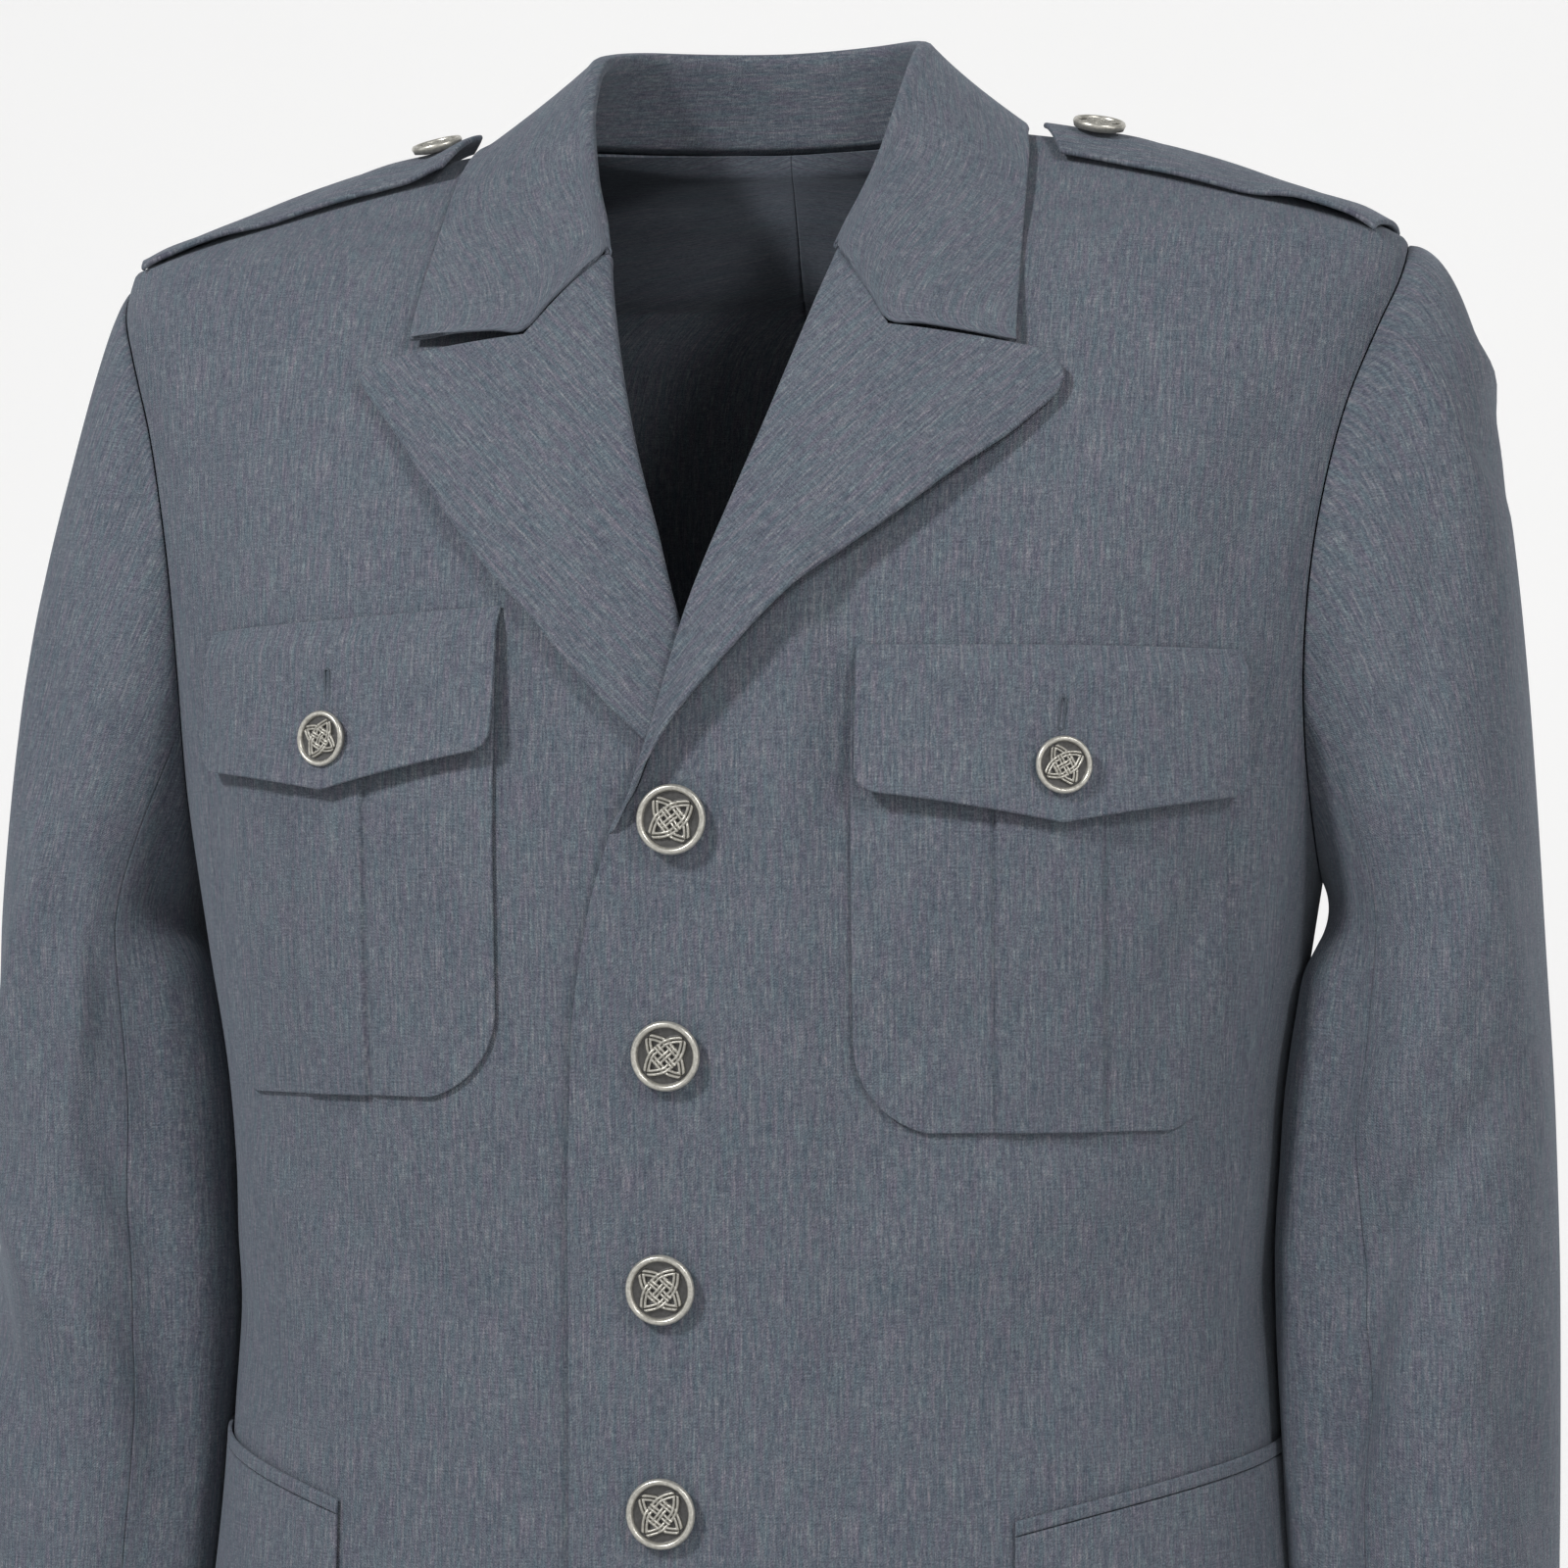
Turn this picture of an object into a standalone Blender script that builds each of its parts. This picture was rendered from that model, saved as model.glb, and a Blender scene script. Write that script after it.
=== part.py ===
"""An army dress uniform jacket, worn shape, hollow, built from its cut pieces.

Metres, +Z up. The origin is at the base of the neck, between the shoulders. The front faces -Y
and +X is the wearer's left. Every piece of cloth is a closed wall. Body panels share one surface,
worked out from a table of horizontal rings, and what is sewn on a panel uses the same surface,
moved out. Run it with blender --background --python part.py or from Blender's text editor.
"""

import math

import bmesh
import bpy
import numpy as np
from mathutils import Matrix, Vector

# Cloth
SEAM_GAP = 0.0003
PANEL_WALL = 0.0020
POCKET_WALL = 0.0012
FLAP_WALL = 0.0016
LAPEL_WALL = 0.0020
COLLAR_WALL = 0.0016

# Lengths from the base of the neck
HEM_HEIGHT = -0.740
UNDERARM_HEIGHT = -0.277
SHOULDER_TIP_HEIGHT = -0.046
NECK_POINT_HEIGHT = 0.001
BACK_NECK_HEIGHT = 0.010
NECK_END_ANGLE = math.radians(7)
CUFF_HEIGHT = -0.670

# The body's horizontal rings, from hem to neck. Squareness 2 is an ellipse.
RING_COLUMNS = ("height", "half_width", "front_depth", "back_depth", "squareness")
RINGS = np.array(
    [
        (-0.740, 0.2090, 0.131, 0.122, 2.45),
        (-0.650, 0.2050, 0.131, 0.121, 2.45),
        (-0.560, 0.2000, 0.129, 0.118, 2.45),
        (-0.480, 0.1950, 0.128, 0.113, 2.40),
        (-0.430, 0.1925, 0.129, 0.110, 2.40),
        (-0.365, 0.1950, 0.132, 0.113, 2.40),
        (-0.300, 0.2050, 0.137, 0.124, 2.40),
        (-0.260, 0.2115, 0.139, 0.132, 2.40),
        (-0.200, 0.2210, 0.136, 0.138, 2.40),
        (-0.150, 0.2290, 0.126, 0.136, 2.45),
        (-0.110, 0.2360, 0.108, 0.127, 2.60),
        (-0.080, 0.2415, 0.090, 0.115, 2.80),
        (-0.062, 0.2430, 0.077, 0.106, 3.00),
        (-0.046, 0.2410, 0.062, 0.098, 3.10),
        (-0.041, 0.2340, 0.057, 0.094, 2.90),
        (-0.029, 0.2060, 0.047, 0.088, 2.50),
        (-0.021, 0.1860, 0.041, 0.084, 2.30),
        (-0.014, 0.1660, 0.035, 0.080, 2.15),
        (-0.008, 0.1460, 0.030, 0.077, 2.05),
        (-0.003, 0.1210, 0.026, 0.074, 2.00),
        (0.000, 0.1010, 0.023, 0.072, 2.00),
        (0.003, 0.0800, 0.020, 0.070, 2.00),
        (0.012, 0.0650, 0.016, 0.067, 2.00),
    ]
)

# The left front's inner edge, as height and across: front edge, roll line, then the neckline.
FRONT_EDGE = np.array(
    [
        (-0.740, -0.0405),
        (-0.400, -0.0405),
        (-0.332, -0.0383),
        (-0.288, -0.0316),
        (-0.262, -0.0235),
        (-0.241, -0.0145),
        (-0.191, 0.0005),
        (-0.120, 0.0240),
        (-0.060, 0.0400),
        (-0.0535, 0.0415),
        (-0.038, 0.0530),
        (-0.020, 0.0640),
        (-0.008, 0.0720),
        (0.001, 0.0800),
    ]
)
BREAK_HEIGHT = -0.241
GORGE_HEIGHT = -0.0535

# The left front stands out over the right one where they lap: height and rise.
LAP_EASE = np.array(
    [
        (-0.740, 0.0034),
        (-0.280, 0.0034),
        (-0.245, 0.0062),
        (-0.190, 0.0062),
        (-0.140, 0.0020),
        (-0.060, 0.0000),
    ]
)
LAP_FULL_WIDTH = 0.038
LAP_END_WIDTH = 0.056

# The lapel's outer edge, from the break up to its point: share, across and height.
LAPEL_EDGE = np.array(
    [
        (0.00, -0.0080, -0.2350),
        (0.15, 0.0130, -0.2200),
        (0.34, 0.0355, -0.1990),
        (0.56, 0.0630, -0.1680),
        (0.80, 0.0950, -0.1370),
        (1.00, 0.1240, -0.1018),
    ]
)
LAPEL_SEAT = 0.0008
LAPEL_LIFT = 0.055
NOTCH = (0.0650, -0.0878)
NOTCH_SHARE = 0.36
LAPEL_CORNER = (0.1135, -0.0942)
LAPEL_CORNER_SHARE = 0.84
LAPEL_COLUMNS = np.array((0.0, 0.12, 0.24, NOTCH_SHARE, 0.52, 0.68, LAPEL_CORNER_SHARE, 1.0))
LAPEL_TOP_BEND = 5

# The collar from the centre back, at share 0, to its front end: fold and outer edge.
NECK_POINT_SHARE = 0.52
COLLAR_STATIONS = np.array(
    [
        (-0.52, -0.0605, 0.0040, 0.0330, -0.0985, 0.0060, 0.0040),
        (-0.30, -0.0440, 0.0440, 0.0430, -0.0680, 0.0580, -0.0060),
        (0.00, 0.0000, 0.0620, 0.0450, 0.0000, 0.0800, -0.0080),
        (0.30, 0.0440, 0.0440, 0.0430, 0.0680, 0.0580, -0.0060),
        (0.52, 0.0605, 0.0040, 0.0330, 0.0985, 0.0060, 0.0040),
        (0.70, 0.0585, -0.0240, 0.0120, 0.1060, -0.0260, -0.0120),
        (0.84, 0.0525, -0.0450, -0.0180, 0.1075, -0.0500, -0.0400),
        (0.93, 0.0455, -0.0590, -0.0390, 0.1080, -0.0650, -0.0660),
        (1.00, 0.0408, -0.0680, -0.0520, 0.1080, -0.0780, -0.0915),
    ]
)
COLLAR_FOLD = 0.0048
CREST_OUT = 0.50
CREST_UP = 0.45
COLLAR_ROWS = (0.0, 0.1, 0.2, 0.3, 0.4, 0.48, 0.55, 0.62, 0.69, 0.76, 0.83, 0.89, 0.95, 1.0)
GORGE_GAP = 0.0010
GORGE_START = 0.04
COLLAR_CORNER = (0.1075, -0.0915)
COLLAR_SEAT = 0.0010
COLLAR_END_SEAT = 0.0030
COLLAR_END_START = 0.72
COLLAR_END_BEND = 1.5

# Armhole, seen from the side
ARMHOLE_FRONT = 0.064
ARMHOLE_BACK = 0.066
ARMHOLE_SCOOP = 0.14
ARMHOLE_POINTS = 24
SIDE_SEAM_STEP = 9
SIDE_FRONT_HEM = math.radians(63)
SIDE_BACK_HEM = math.radians(114)

# The sleeve's level rings below the cap
SLEEVE_RINGS = np.array(
    [
        (-0.300, 0.2500, 0.0040, 0.0385, 0.0740, 2.2),
        (-0.365, 0.2480, 0.0050, 0.0435, 0.0720, 2.2),
        (-0.430, 0.2475, 0.0040, 0.0450, 0.0695, 2.2),
        (-0.500, 0.2480, -0.0010, 0.0440, 0.0655, 2.2),
        (-0.580, 0.2505, -0.0110, 0.0410, 0.0600, 2.2),
        (-0.670, 0.2545, -0.0250, 0.0385, 0.0540, 2.2),
    ]
)
SLEEVE_LOWER_HEIGHTS = (-0.340, -0.380, -0.420, -0.460, -0.500, -0.545, -0.590, -0.630, CUFF_HEIGHT)
SLEEVE_CAP_STEPS = (0.0, 0.10, 0.22, 0.36, 0.54, 0.77, 1.0)
SLEEVE_SEAM_TURN = 0.003
# How the sleeve leaves the armhole: away forward or back, up at the top and down under the arm
CAP_SPREAD = 0.30
CAP_RISE = 0.02
CAP_DROP = 0.80
CAP_END_PULL = 0.9
SLEEVE_STEP = 0.01
CAP_SWELL_LEFT = 0.42
CAP_SWELL_RIGHT = 0.10
FRONT_SLEEVE_SEAM_STEP = 8
BACK_SLEEVE_SEAM_STEP = 16

# Pockets and flaps: places are lengths round the body from the centre front
BREAST_CENTRE = 0.1295
BREAST_WIDTH = 0.1350
BREAST_SHIFT = 0.0040
BREAST_RIGHT_RISE = 0.0110
BREAST_TOP = -0.2125
BREAST_BOTTOM = -0.3630
BREAST_CORNER = 0.0300
PLEAT_WIDTH = 0.0240
PLEAT_RISE = 0.0012
PLEAT_EDGE = 0.0012
BREAST_ROWS = np.array((0.0, 0.135, 0.27, 0.405, 0.54, 0.675, 0.80, 0.875, 0.94, 0.98, 1.0))
BREAST_CORNER_END = 0.985
POCKET_SEAT = 0.0008
BAND_SEAT = 0.0007
FLAP_TOP = -0.1985
FLAP_SIDE = -0.2485
FLAP_POINT = -0.2585
FLAP_POINT_BEND = 1.3
FLAP_CENTRE = 0.1280
FLAP_WIDTH_LEFT = 0.1370
FLAP_WIDTH_RIGHT = 0.1270
FLAP_LIFT = 0.0030
FLAP_CORNER = 0.0070
FLAP_COLUMNS = np.array((0, 0.25, 0.50, 0.75, 0.90, 0.97, 1.0))
FLAP_BUTTON_SHARE = 0.68
FLAP_BUTTON_TOP = 0.78
SKIRT_START = 0.1215
SKIRT_SHIFT = 0.0100
SKIRT_WIDTH = 0.1600
SKIRT_HEIGHT = -0.4940
SKIRT_RISE = 0.0200
SKIRT_BAND = 0.0050
SKIRT_FLAP_DEPTH = 0.0620

# Shoulder straps
STRAP_TIP_LEFT = 0.1080
STRAP_TIP_RIGHT = 0.1040
STRAP_SHOULDER_WIDTH = 0.0540
STRAP_TIP_WIDTH = 0.0420
STRAP_POINT = 0.0090
STRAP_TIP_LIFT = 0.0022
STRAP_WALL = 0.0022
STRAP_END = 0.2370
STRAP_END_CURVE = 7.0
STRAP_FORWARD = 0.0070
STRAP_SEAT = 0.0006
STRAP_TIP_CURL = 1.6
STRAP_ROW_CLOSENESS = 1.4
SHOULDER_LOWEST = -0.120
SHOULDER_HIGHEST = 0.003
SHOULDER_HALVINGS = 40
STRAP_BUTTON_LEFT = 0.0205
STRAP_BUTTON_RIGHT = 0.0160
STRAP_BUTTON_FORWARD = 0.0110

# Buttons
FRONT_BUTTONS = (
    # across and height
    (-0.0012, -0.2575),
    (-0.0046, -0.3366),
    (-0.0073, -0.4160),
    (-0.0073, -0.4917),
)
FRONT_BUTTON = 0.0240
SMALL_BUTTON = 0.0195
BUTTON_PROFILE = (
    # across and up, as shares of the radius
    (0.00, 0.30),
    (0.60, 0.27),
    (0.76, 0.22),
    (0.82, 0.36),
    (0.92, 0.38),
    (1.00, 0.26),
    (0.94, 0.08),
    (0.62, 0.00),
    (0.00, 0.00),
)

CLOTH_COLOUR = (0.115, 0.150, 0.200, 1.0)
METAL_COLOUR = (0.300, 0.290, 0.265, 1.0)


def smooth_curve(knots, values, at):
    """A cubic through the knots that never overshoots them."""
    knots = np.asarray(knots, float)
    values = np.asarray(values, float)
    at = np.clip(np.asarray(at, float), knots[0], knots[-1])
    step = np.diff(knots)
    slope = np.diff(values) / step
    tangent = np.zeros_like(values)
    same = slope[:-1] * slope[1:] > 0
    total = np.where(same, slope[:-1] + slope[1:], 1.0)
    tangent[1:-1] = np.where(same, 2 * slope[:-1] * slope[1:] / total, 0.0)
    tangent[0] = slope[0]
    tangent[-1] = slope[-1]
    i = np.clip(np.searchsorted(knots, at, side="right") - 1, 0, len(knots) - 2)
    t = (at - knots[i]) / step[i]
    start = values[i] * (1 + 2 * t) * (1 - t) ** 2 + tangent[i] * step[i] * t * (1 - t) ** 2
    end = values[i + 1] * t * t * (3 - 2 * t) + tangent[i + 1] * step[i] * t * t * (t - 1)
    return start + end


def smooth_step(start, end, at):
    t = np.clip((at - start) / (end - start), 0, 1)
    return t * t * (3 - 2 * t)


def ring(column, height):
    return smooth_curve(RINGS[:, 0], RINGS[:, RING_COLUMNS.index(column)], height)


def body_surface(angle, height):
    """The body at an angle from the centre front, towards the wearer's left."""
    angle, height = np.broadcast_arrays(np.asarray(angle, float), np.asarray(height, float))
    power = 2 / ring("squareness", height)
    sine, cosine = np.sin(angle), np.cos(angle)
    depth = np.where(cosine > 0, ring("front_depth", height), ring("back_depth", height))
    x = ring("half_width", height) * np.sign(sine) * np.abs(sine) ** power
    y = -depth * np.sign(cosine) * np.abs(cosine) ** power
    return np.stack([x, y, height], axis=-1)


def normals_of(surface, u, v, du=2e-4, dv=1e-4):
    across = surface(u + du, v) - surface(u - du, v)
    up = surface(u, v + dv) - surface(u, v - dv)
    normal = np.cross(across, up)
    return normal / np.linalg.norm(normal, axis=-1, keepdims=True)


def body_point(angle, height, out=0.0):
    """A point of the body's surface, moved out along its normal."""
    out = np.asarray(out, float)[..., None]
    return body_surface(angle, height) + out * normals_of(body_surface, angle, height)


def angle_at_width(x, height):
    """The front angle where the ring is x from the centre."""
    share = np.clip(np.abs(x) / ring("half_width", height), 0, 1)
    return np.sign(x) * np.arcsin(share ** (ring("squareness", height) / 2))


def angle_at_depth(y, height):
    """The left side's angle where the ring is y from its middle."""
    depth = np.where(y < 0, ring("front_depth", height), ring("back_depth", height))
    share = np.clip(np.abs(y) / depth, 0, 1) ** (ring("squareness", height) / 2)
    return np.pi / 2 + np.sign(y) * np.arcsin(share)


ANGLE_TABLE = np.linspace(0, np.pi, 721)


def angle_at_girth(girth, height):
    """The angle that lies a length round the ring from the centre front."""
    girth, height = np.broadcast_arrays(np.asarray(girth, float), np.asarray(height, float))
    found = np.empty(girth.shape)
    for index in np.ndindex(girth.shape):
        points = body_surface(ANGLE_TABLE, height[index])
        steps = np.linalg.norm(np.diff(points, axis=0), axis=1)
        lengths = np.concatenate([[0], np.cumsum(steps)])
        found[index] = np.interp(abs(girth[index]), lengths, ANGLE_TABLE) * np.sign(girth[index])
    return found


def sewn_point(angle, height, out):
    """A point moved out from the panels as they are cut into rows."""
    angle, height = np.broadcast_arrays(np.asarray(angle, float), np.asarray(height, float))
    row = np.clip(np.searchsorted(PANEL_ROWS, height) - 1, 0, len(PANEL_ROWS) - 2)
    low, high = PANEL_ROWS[row], PANEL_ROWS[row + 1]
    t = ((height - low) / (high - low))[..., None]
    base = body_surface(angle, low) * (1 - t) + body_surface(angle, high) * t
    return base + np.asarray(out, float)[..., None] * normals_of(body_surface, angle, height)


def girth_point(girth, height, out):
    return sewn_point(angle_at_girth(girth, height), height, out)


def front_edge(height):
    return smooth_curve(FRONT_EDGE[:, 0], FRONT_EDGE[:, 1], height)


def back_neck_angle(height):
    """Where the back's neckline is at a height, between the neck point and the centre back."""
    rise = (height - NECK_POINT_HEIGHT) / (BACK_NECK_HEIGHT - NECK_POINT_HEIGHT)
    return np.pi - np.pi / 2 * np.sqrt(np.clip(1 - rise, 0, 1))


def neck_seam(share):
    """The neckline's angle and height, from the centre back to the gorge."""
    if share < NECK_POINT_SHARE:
        turn = share / NECK_POINT_SHARE
        rise = BACK_NECK_HEIGHT - NECK_POINT_HEIGHT
        return np.pi - np.pi / 2 * turn, NECK_POINT_HEIGHT + rise * (1 - turn**2)
    down = (share - NECK_POINT_SHARE) / (1 - NECK_POINT_SHARE)
    height = NECK_POINT_HEIGHT + (GORGE_HEIGHT - NECK_POINT_HEIGHT) * down**1.2
    return angle_at_width(front_edge(height), height), height


def lap_ease(x, height):
    """How far the left front stands out over the right front."""
    rise = smooth_curve(LAP_EASE[:, 0], LAP_EASE[:, 1], height)
    return rise * (1 - smooth_step(LAP_FULL_WIDTH, LAP_END_WIDTH, x))


# Armhole


def armhole(turn):
    """Angle and height of the left armhole, by its turn: 0 at the top, a quarter at the front."""
    middle = (SHOULDER_TIP_HEIGHT + UNDERARM_HEIGHT) / 2
    height = middle + (SHOULDER_TIP_HEIGHT - UNDERARM_HEIGHT) / 2 * np.cos(turn)
    reach = np.where(np.sin(turn) > 0, ARMHOLE_FRONT, ARMHOLE_BACK)
    y = -reach * np.sin(turn) * (1 - ARMHOLE_SCOOP * np.cos(turn))
    return angle_at_depth(y, height), height


ARMHOLE_TURNS = np.arange(ARMHOLE_POINTS + 1) * 2 * np.pi / ARMHOLE_POINTS
ARMHOLE_ANGLES, ARMHOLE_HEIGHTS = armhole(ARMHOLE_TURNS)
SEAM_HEIGHT = float(ARMHOLE_HEIGHTS[SIDE_SEAM_STEP])
LOWER_HEIGHTS = np.linspace(HEM_HEIGHT, SEAM_HEIGHT, 12)[:-1]
ARM_HEIGHTS = ARMHOLE_HEIGHTS[SIDE_SEAM_STEP::-1]
SHOULDER_HEIGHTS = np.array((-0.042, -0.034, -0.025, -0.016, -0.008, NECK_POINT_HEIGHT))
PANEL_ROWS = np.concatenate([LOWER_HEIGHTS, ARM_HEIGHTS, SHOULDER_HEIGHTS])


def side_seam(height, hem_angle, step):
    """The front or back seam of the side panel, from the hem to the armhole."""
    top = ARMHOLE_ANGLES[step]
    t = np.clip((height - HEM_HEIGHT) / (SEAM_HEIGHT - HEM_HEIGHT), 0, 1)
    return hem_angle + (top - hem_angle) * t


def shifted(angle, height, distance):
    """The angle a short distance round the ring from this one."""
    small = 1e-4
    speed = np.linalg.norm(
        body_surface(angle + small, height) - body_surface(angle - small, height), axis=-1
    )
    return angle + distance * 2 * small / speed


# Making walls


def material(name, colour, roughness, metallic):
    made = bpy.data.materials.new(name)
    made.use_nodes = True
    shader = made.node_tree.nodes["Principled BSDF"]
    shader.inputs["Base Color"].default_value = colour
    shader.inputs["Roughness"].default_value = roughness
    shader.inputs["Metallic"].default_value = metallic
    return made


def clear_scene():
    for old in list(bpy.data.objects):
        bpy.data.objects.remove(old)


def finish_mesh(name, mesh_data, look):
    """Turns a closed bmesh into a smooth shaded object of the jacket."""
    bmesh.ops.recalc_face_normals(mesh_data, faces=mesh_data.faces)
    mesh = bpy.data.meshes.new(name)
    mesh_data.to_mesh(mesh)
    mesh_data.free()
    mesh.shade_smooth()
    mesh.set_sharp_from_angle(angle=math.radians(40))
    mesh.materials.append(look)
    made = bpy.data.objects.new(name, mesh)
    JACKET.objects.link(made)
    return made


def wall(name, outer, inner, look):
    """A closed wall between two grids of points, which have the same rows and columns."""
    rows, columns = outer.shape[:2]
    shape = bmesh.new()
    front = [[shape.verts.new(point) for point in row] for row in outer]
    back = [[shape.verts.new(point) for point in row] for row in inner]
    for i in range(rows - 1):
        for j in range(columns - 1):
            near = (front[i][j], front[i][j + 1], front[i + 1][j + 1], front[i + 1][j])
            far = (back[i][j], back[i + 1][j], back[i + 1][j + 1], back[i][j + 1])
            shape.faces.new(near)
            shape.faces.new(far)
    rim = [(0, j) for j in range(columns)]
    rim += [(i, columns - 1) for i in range(1, rows)]
    rim += [(rows - 1, j) for j in range(columns - 2, -1, -1)]
    rim += [(i, 0) for i in range(rows - 2, 0, -1)]
    for (i, j), (k, m) in zip(rim, rim[1:] + rim[:1]):
        shape.faces.new((front[i][j], back[i][j], back[k][m], front[k][m]))
    return finish_mesh(name, shape, look)


def mirrored(points):
    return points * np.array((-1.0, 1.0, 1.0))


def both_sides(name, outer, inner, look):
    """The wearer's left piece and its mirror image."""
    wall(name + "_left", outer, inner, look)
    wall(name + "_right", mirrored(outer), mirrored(inner), look)


# Body panels


def spread(start, end, count):
    """A grid row for each start and end, with evenly spaced columns."""
    t = np.linspace(0, 1, count)[None, :]
    return np.asarray(start)[:, None] * (1 - t) + np.asarray(end)[:, None] * t


def front_angles(columns):
    """Angles and heights of a front panel's grid, from its inner edge to its side seam."""
    heights = np.concatenate([LOWER_HEIGHTS, ARM_HEIGHTS, SHOULDER_HEIGHTS])
    inner = angle_at_width(front_edge(heights), heights)
    lower = side_seam(LOWER_HEIGHTS, SIDE_FRONT_HEM, SIDE_SEAM_STEP)
    ridge = angle_at_depth(-SEAM_GAP / 2, SHOULDER_HEIGHTS)
    outer = np.concatenate([lower, ARMHOLE_ANGLES[SIDE_SEAM_STEP::-1], ridge])
    outer[-len(ridge) - 1] = angle_at_depth(-SEAM_GAP / 2, SHOULDER_TIP_HEIGHT)
    seamed = np.zeros(len(heights))
    seamed[: len(LOWER_HEIGHTS) + 1] = 1
    outer = shifted(outer, heights, -SEAM_GAP / 2 * seamed)
    inner_x = front_edge(heights)
    room = body_surface(outer, heights)[:, 0] - inner_x
    full = angle_at_width(np.maximum(LAP_FULL_WIDTH, inner_x + 0.1 * room), heights)
    end = angle_at_width(np.maximum(LAP_END_WIDTH, inner_x + 0.2 * room), heights)
    lapped = spread(inner, full, 3)
    rest = spread(end, outer, columns - 3)
    return np.hstack([lapped, rest]), np.repeat(heights[:, None], columns, axis=1)


def make_fronts(look):
    angles, heights = front_angles(12)
    ease = lap_ease(body_surface(angles, heights)[..., 0], heights)
    wall(
        "front_left",
        body_point(angles, heights, ease),
        body_point(angles, heights, ease - PANEL_WALL),
        look,
    )
    wall(
        "front_right",
        mirrored(body_point(angles, heights)),
        mirrored(body_point(angles, heights, -PANEL_WALL)),
        look,
    )


def make_sides(look):
    steps = np.arange(SIDE_SEAM_STEP, ARMHOLE_POINTS - SIDE_SEAM_STEP + 1)
    share = (steps - steps[0]) / (steps[-1] - steps[0])
    hem = SIDE_FRONT_HEM + (SIDE_BACK_HEM - SIDE_FRONT_HEM) * share
    rows = np.linspace(0, 1, len(LOWER_HEIGHTS) + 1)[:, None]
    heights = HEM_HEIGHT + (ARMHOLE_HEIGHTS[steps] - HEM_HEIGHT)[None, :] * rows
    level = np.clip((heights - HEM_HEIGHT) / (SEAM_HEIGHT - HEM_HEIGHT), 0, 1)
    angles = hem[None, :] + (ARMHOLE_ANGLES[steps] - hem)[None, :] * level
    angles[:, :1] = shifted(angles[:, :1], heights[:, :1], SEAM_GAP / 2)
    angles[:, -1:] = shifted(angles[:, -1:], heights[:, -1:], -SEAM_GAP / 2)
    outer = body_point(angles, heights)
    both_sides("side", outer, body_point(angles, heights, -PANEL_WALL), look)


def make_backs(look):
    """Each back runs from the centre back seam to the side, armhole and shoulder seams."""
    neck_heights = np.array((0.0035, 0.0060, 0.0085, BACK_NECK_HEIGHT))
    heights = np.concatenate([LOWER_HEIGHTS, ARM_HEIGHTS, SHOULDER_HEIGHTS, neck_heights])
    back_step = ARMHOLE_POINTS - SIDE_SEAM_STEP
    lower = side_seam(LOWER_HEIGHTS, SIDE_BACK_HEM, back_step)
    ridge = angle_at_depth(SEAM_GAP / 2, SHOULDER_HEIGHTS)
    neck = back_neck_angle(neck_heights) - NECK_END_ANGLE * (neck_heights == BACK_NECK_HEIGHT)
    outer = np.concatenate([lower, ARMHOLE_ANGLES[back_step:], ridge, neck])
    tip = len(LOWER_HEIGHTS) + len(ARM_HEIGHTS) - 1
    outer[tip] = angle_at_depth(SEAM_GAP / 2, SHOULDER_TIP_HEIGHT)
    seamed = np.zeros(len(heights))
    seamed[: len(LOWER_HEIGHTS) + 1] = 1
    outer = shifted(outer, heights, SEAM_GAP / 2 * seamed)
    middle = np.pi - angle_at_width(SEAM_GAP / 2, heights)
    angles = spread(outer, middle, 9)
    grid_heights = np.repeat(heights[:, None], 9, axis=1)
    outer_points = body_point(angles, grid_heights)
    both_sides("back", outer_points, body_point(angles, grid_heights, -PANEL_WALL), look)


# Sleeves


def sleeve_ring(turn, height):
    """The sleeve's level section: turn 0 is outermost, a quarter turn faces forward."""
    values = [smooth_curve(-SLEEVE_RINGS[:, 0], SLEEVE_RINGS[:, k], -height) for k in range(1, 6)]
    centre_x, centre_y, half_width, half_depth, squareness = values
    power = 2 / squareness
    x = centre_x + half_width * np.sign(np.cos(turn)) * np.abs(np.cos(turn)) ** power
    y = centre_y - half_depth * np.sign(np.sin(turn)) * np.abs(np.sin(turn)) ** power
    return np.stack([x, y, np.broadcast_to(height, np.shape(x))], axis=-1)


SLEEVE_TOP = SLEEVE_RINGS[0, 0]


def sleeve_surface(turn, place, swell):
    """A sleeve, as on the left. Place runs 0 to 1 over the cap and then on to the cuff at 2."""
    turn, place = np.broadcast_arrays(np.asarray(turn, float), np.asarray(place, float))
    angle, height = armhole(turn)
    start = body_surface(angle, height)
    end = sleeve_ring(turn, np.full(turn.shape, SLEEVE_TOP))
    reach = np.linalg.norm(end - start, axis=-1)
    under = (1 - np.cos(turn)) / 2
    out_y = -CAP_SPREAD * np.sin(turn)
    out_z = CAP_RISE * (1 - under) - CAP_DROP * under
    leave = np.stack([swell + 0 * out_y, out_y, out_z], axis=-1)
    start = start + SEAM_GAP * leave / np.linalg.norm(leave, axis=-1, keepdims=True)
    leave = leave * reach[..., None]
    below = sleeve_ring(turn, np.full(turn.shape, SLEEVE_TOP - SLEEVE_STEP))
    arrive = (below - end) / SLEEVE_STEP * CAP_END_PULL * reach[..., None]
    t = np.clip(place, None, 1)[..., None]
    cap = (
        start * (1 + 2 * t) * (1 - t) ** 2
        + leave * t * (1 - t) ** 2
        + end * t * t * (3 - 2 * t)
        + arrive * t * t * (t - 1)
    )
    lower_height = SLEEVE_TOP + (CUFF_HEIGHT - SLEEVE_TOP) * np.clip(place - 1, 0, None)
    return np.where(place[..., None] <= 1, cap, sleeve_ring(turn, lower_height))


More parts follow.
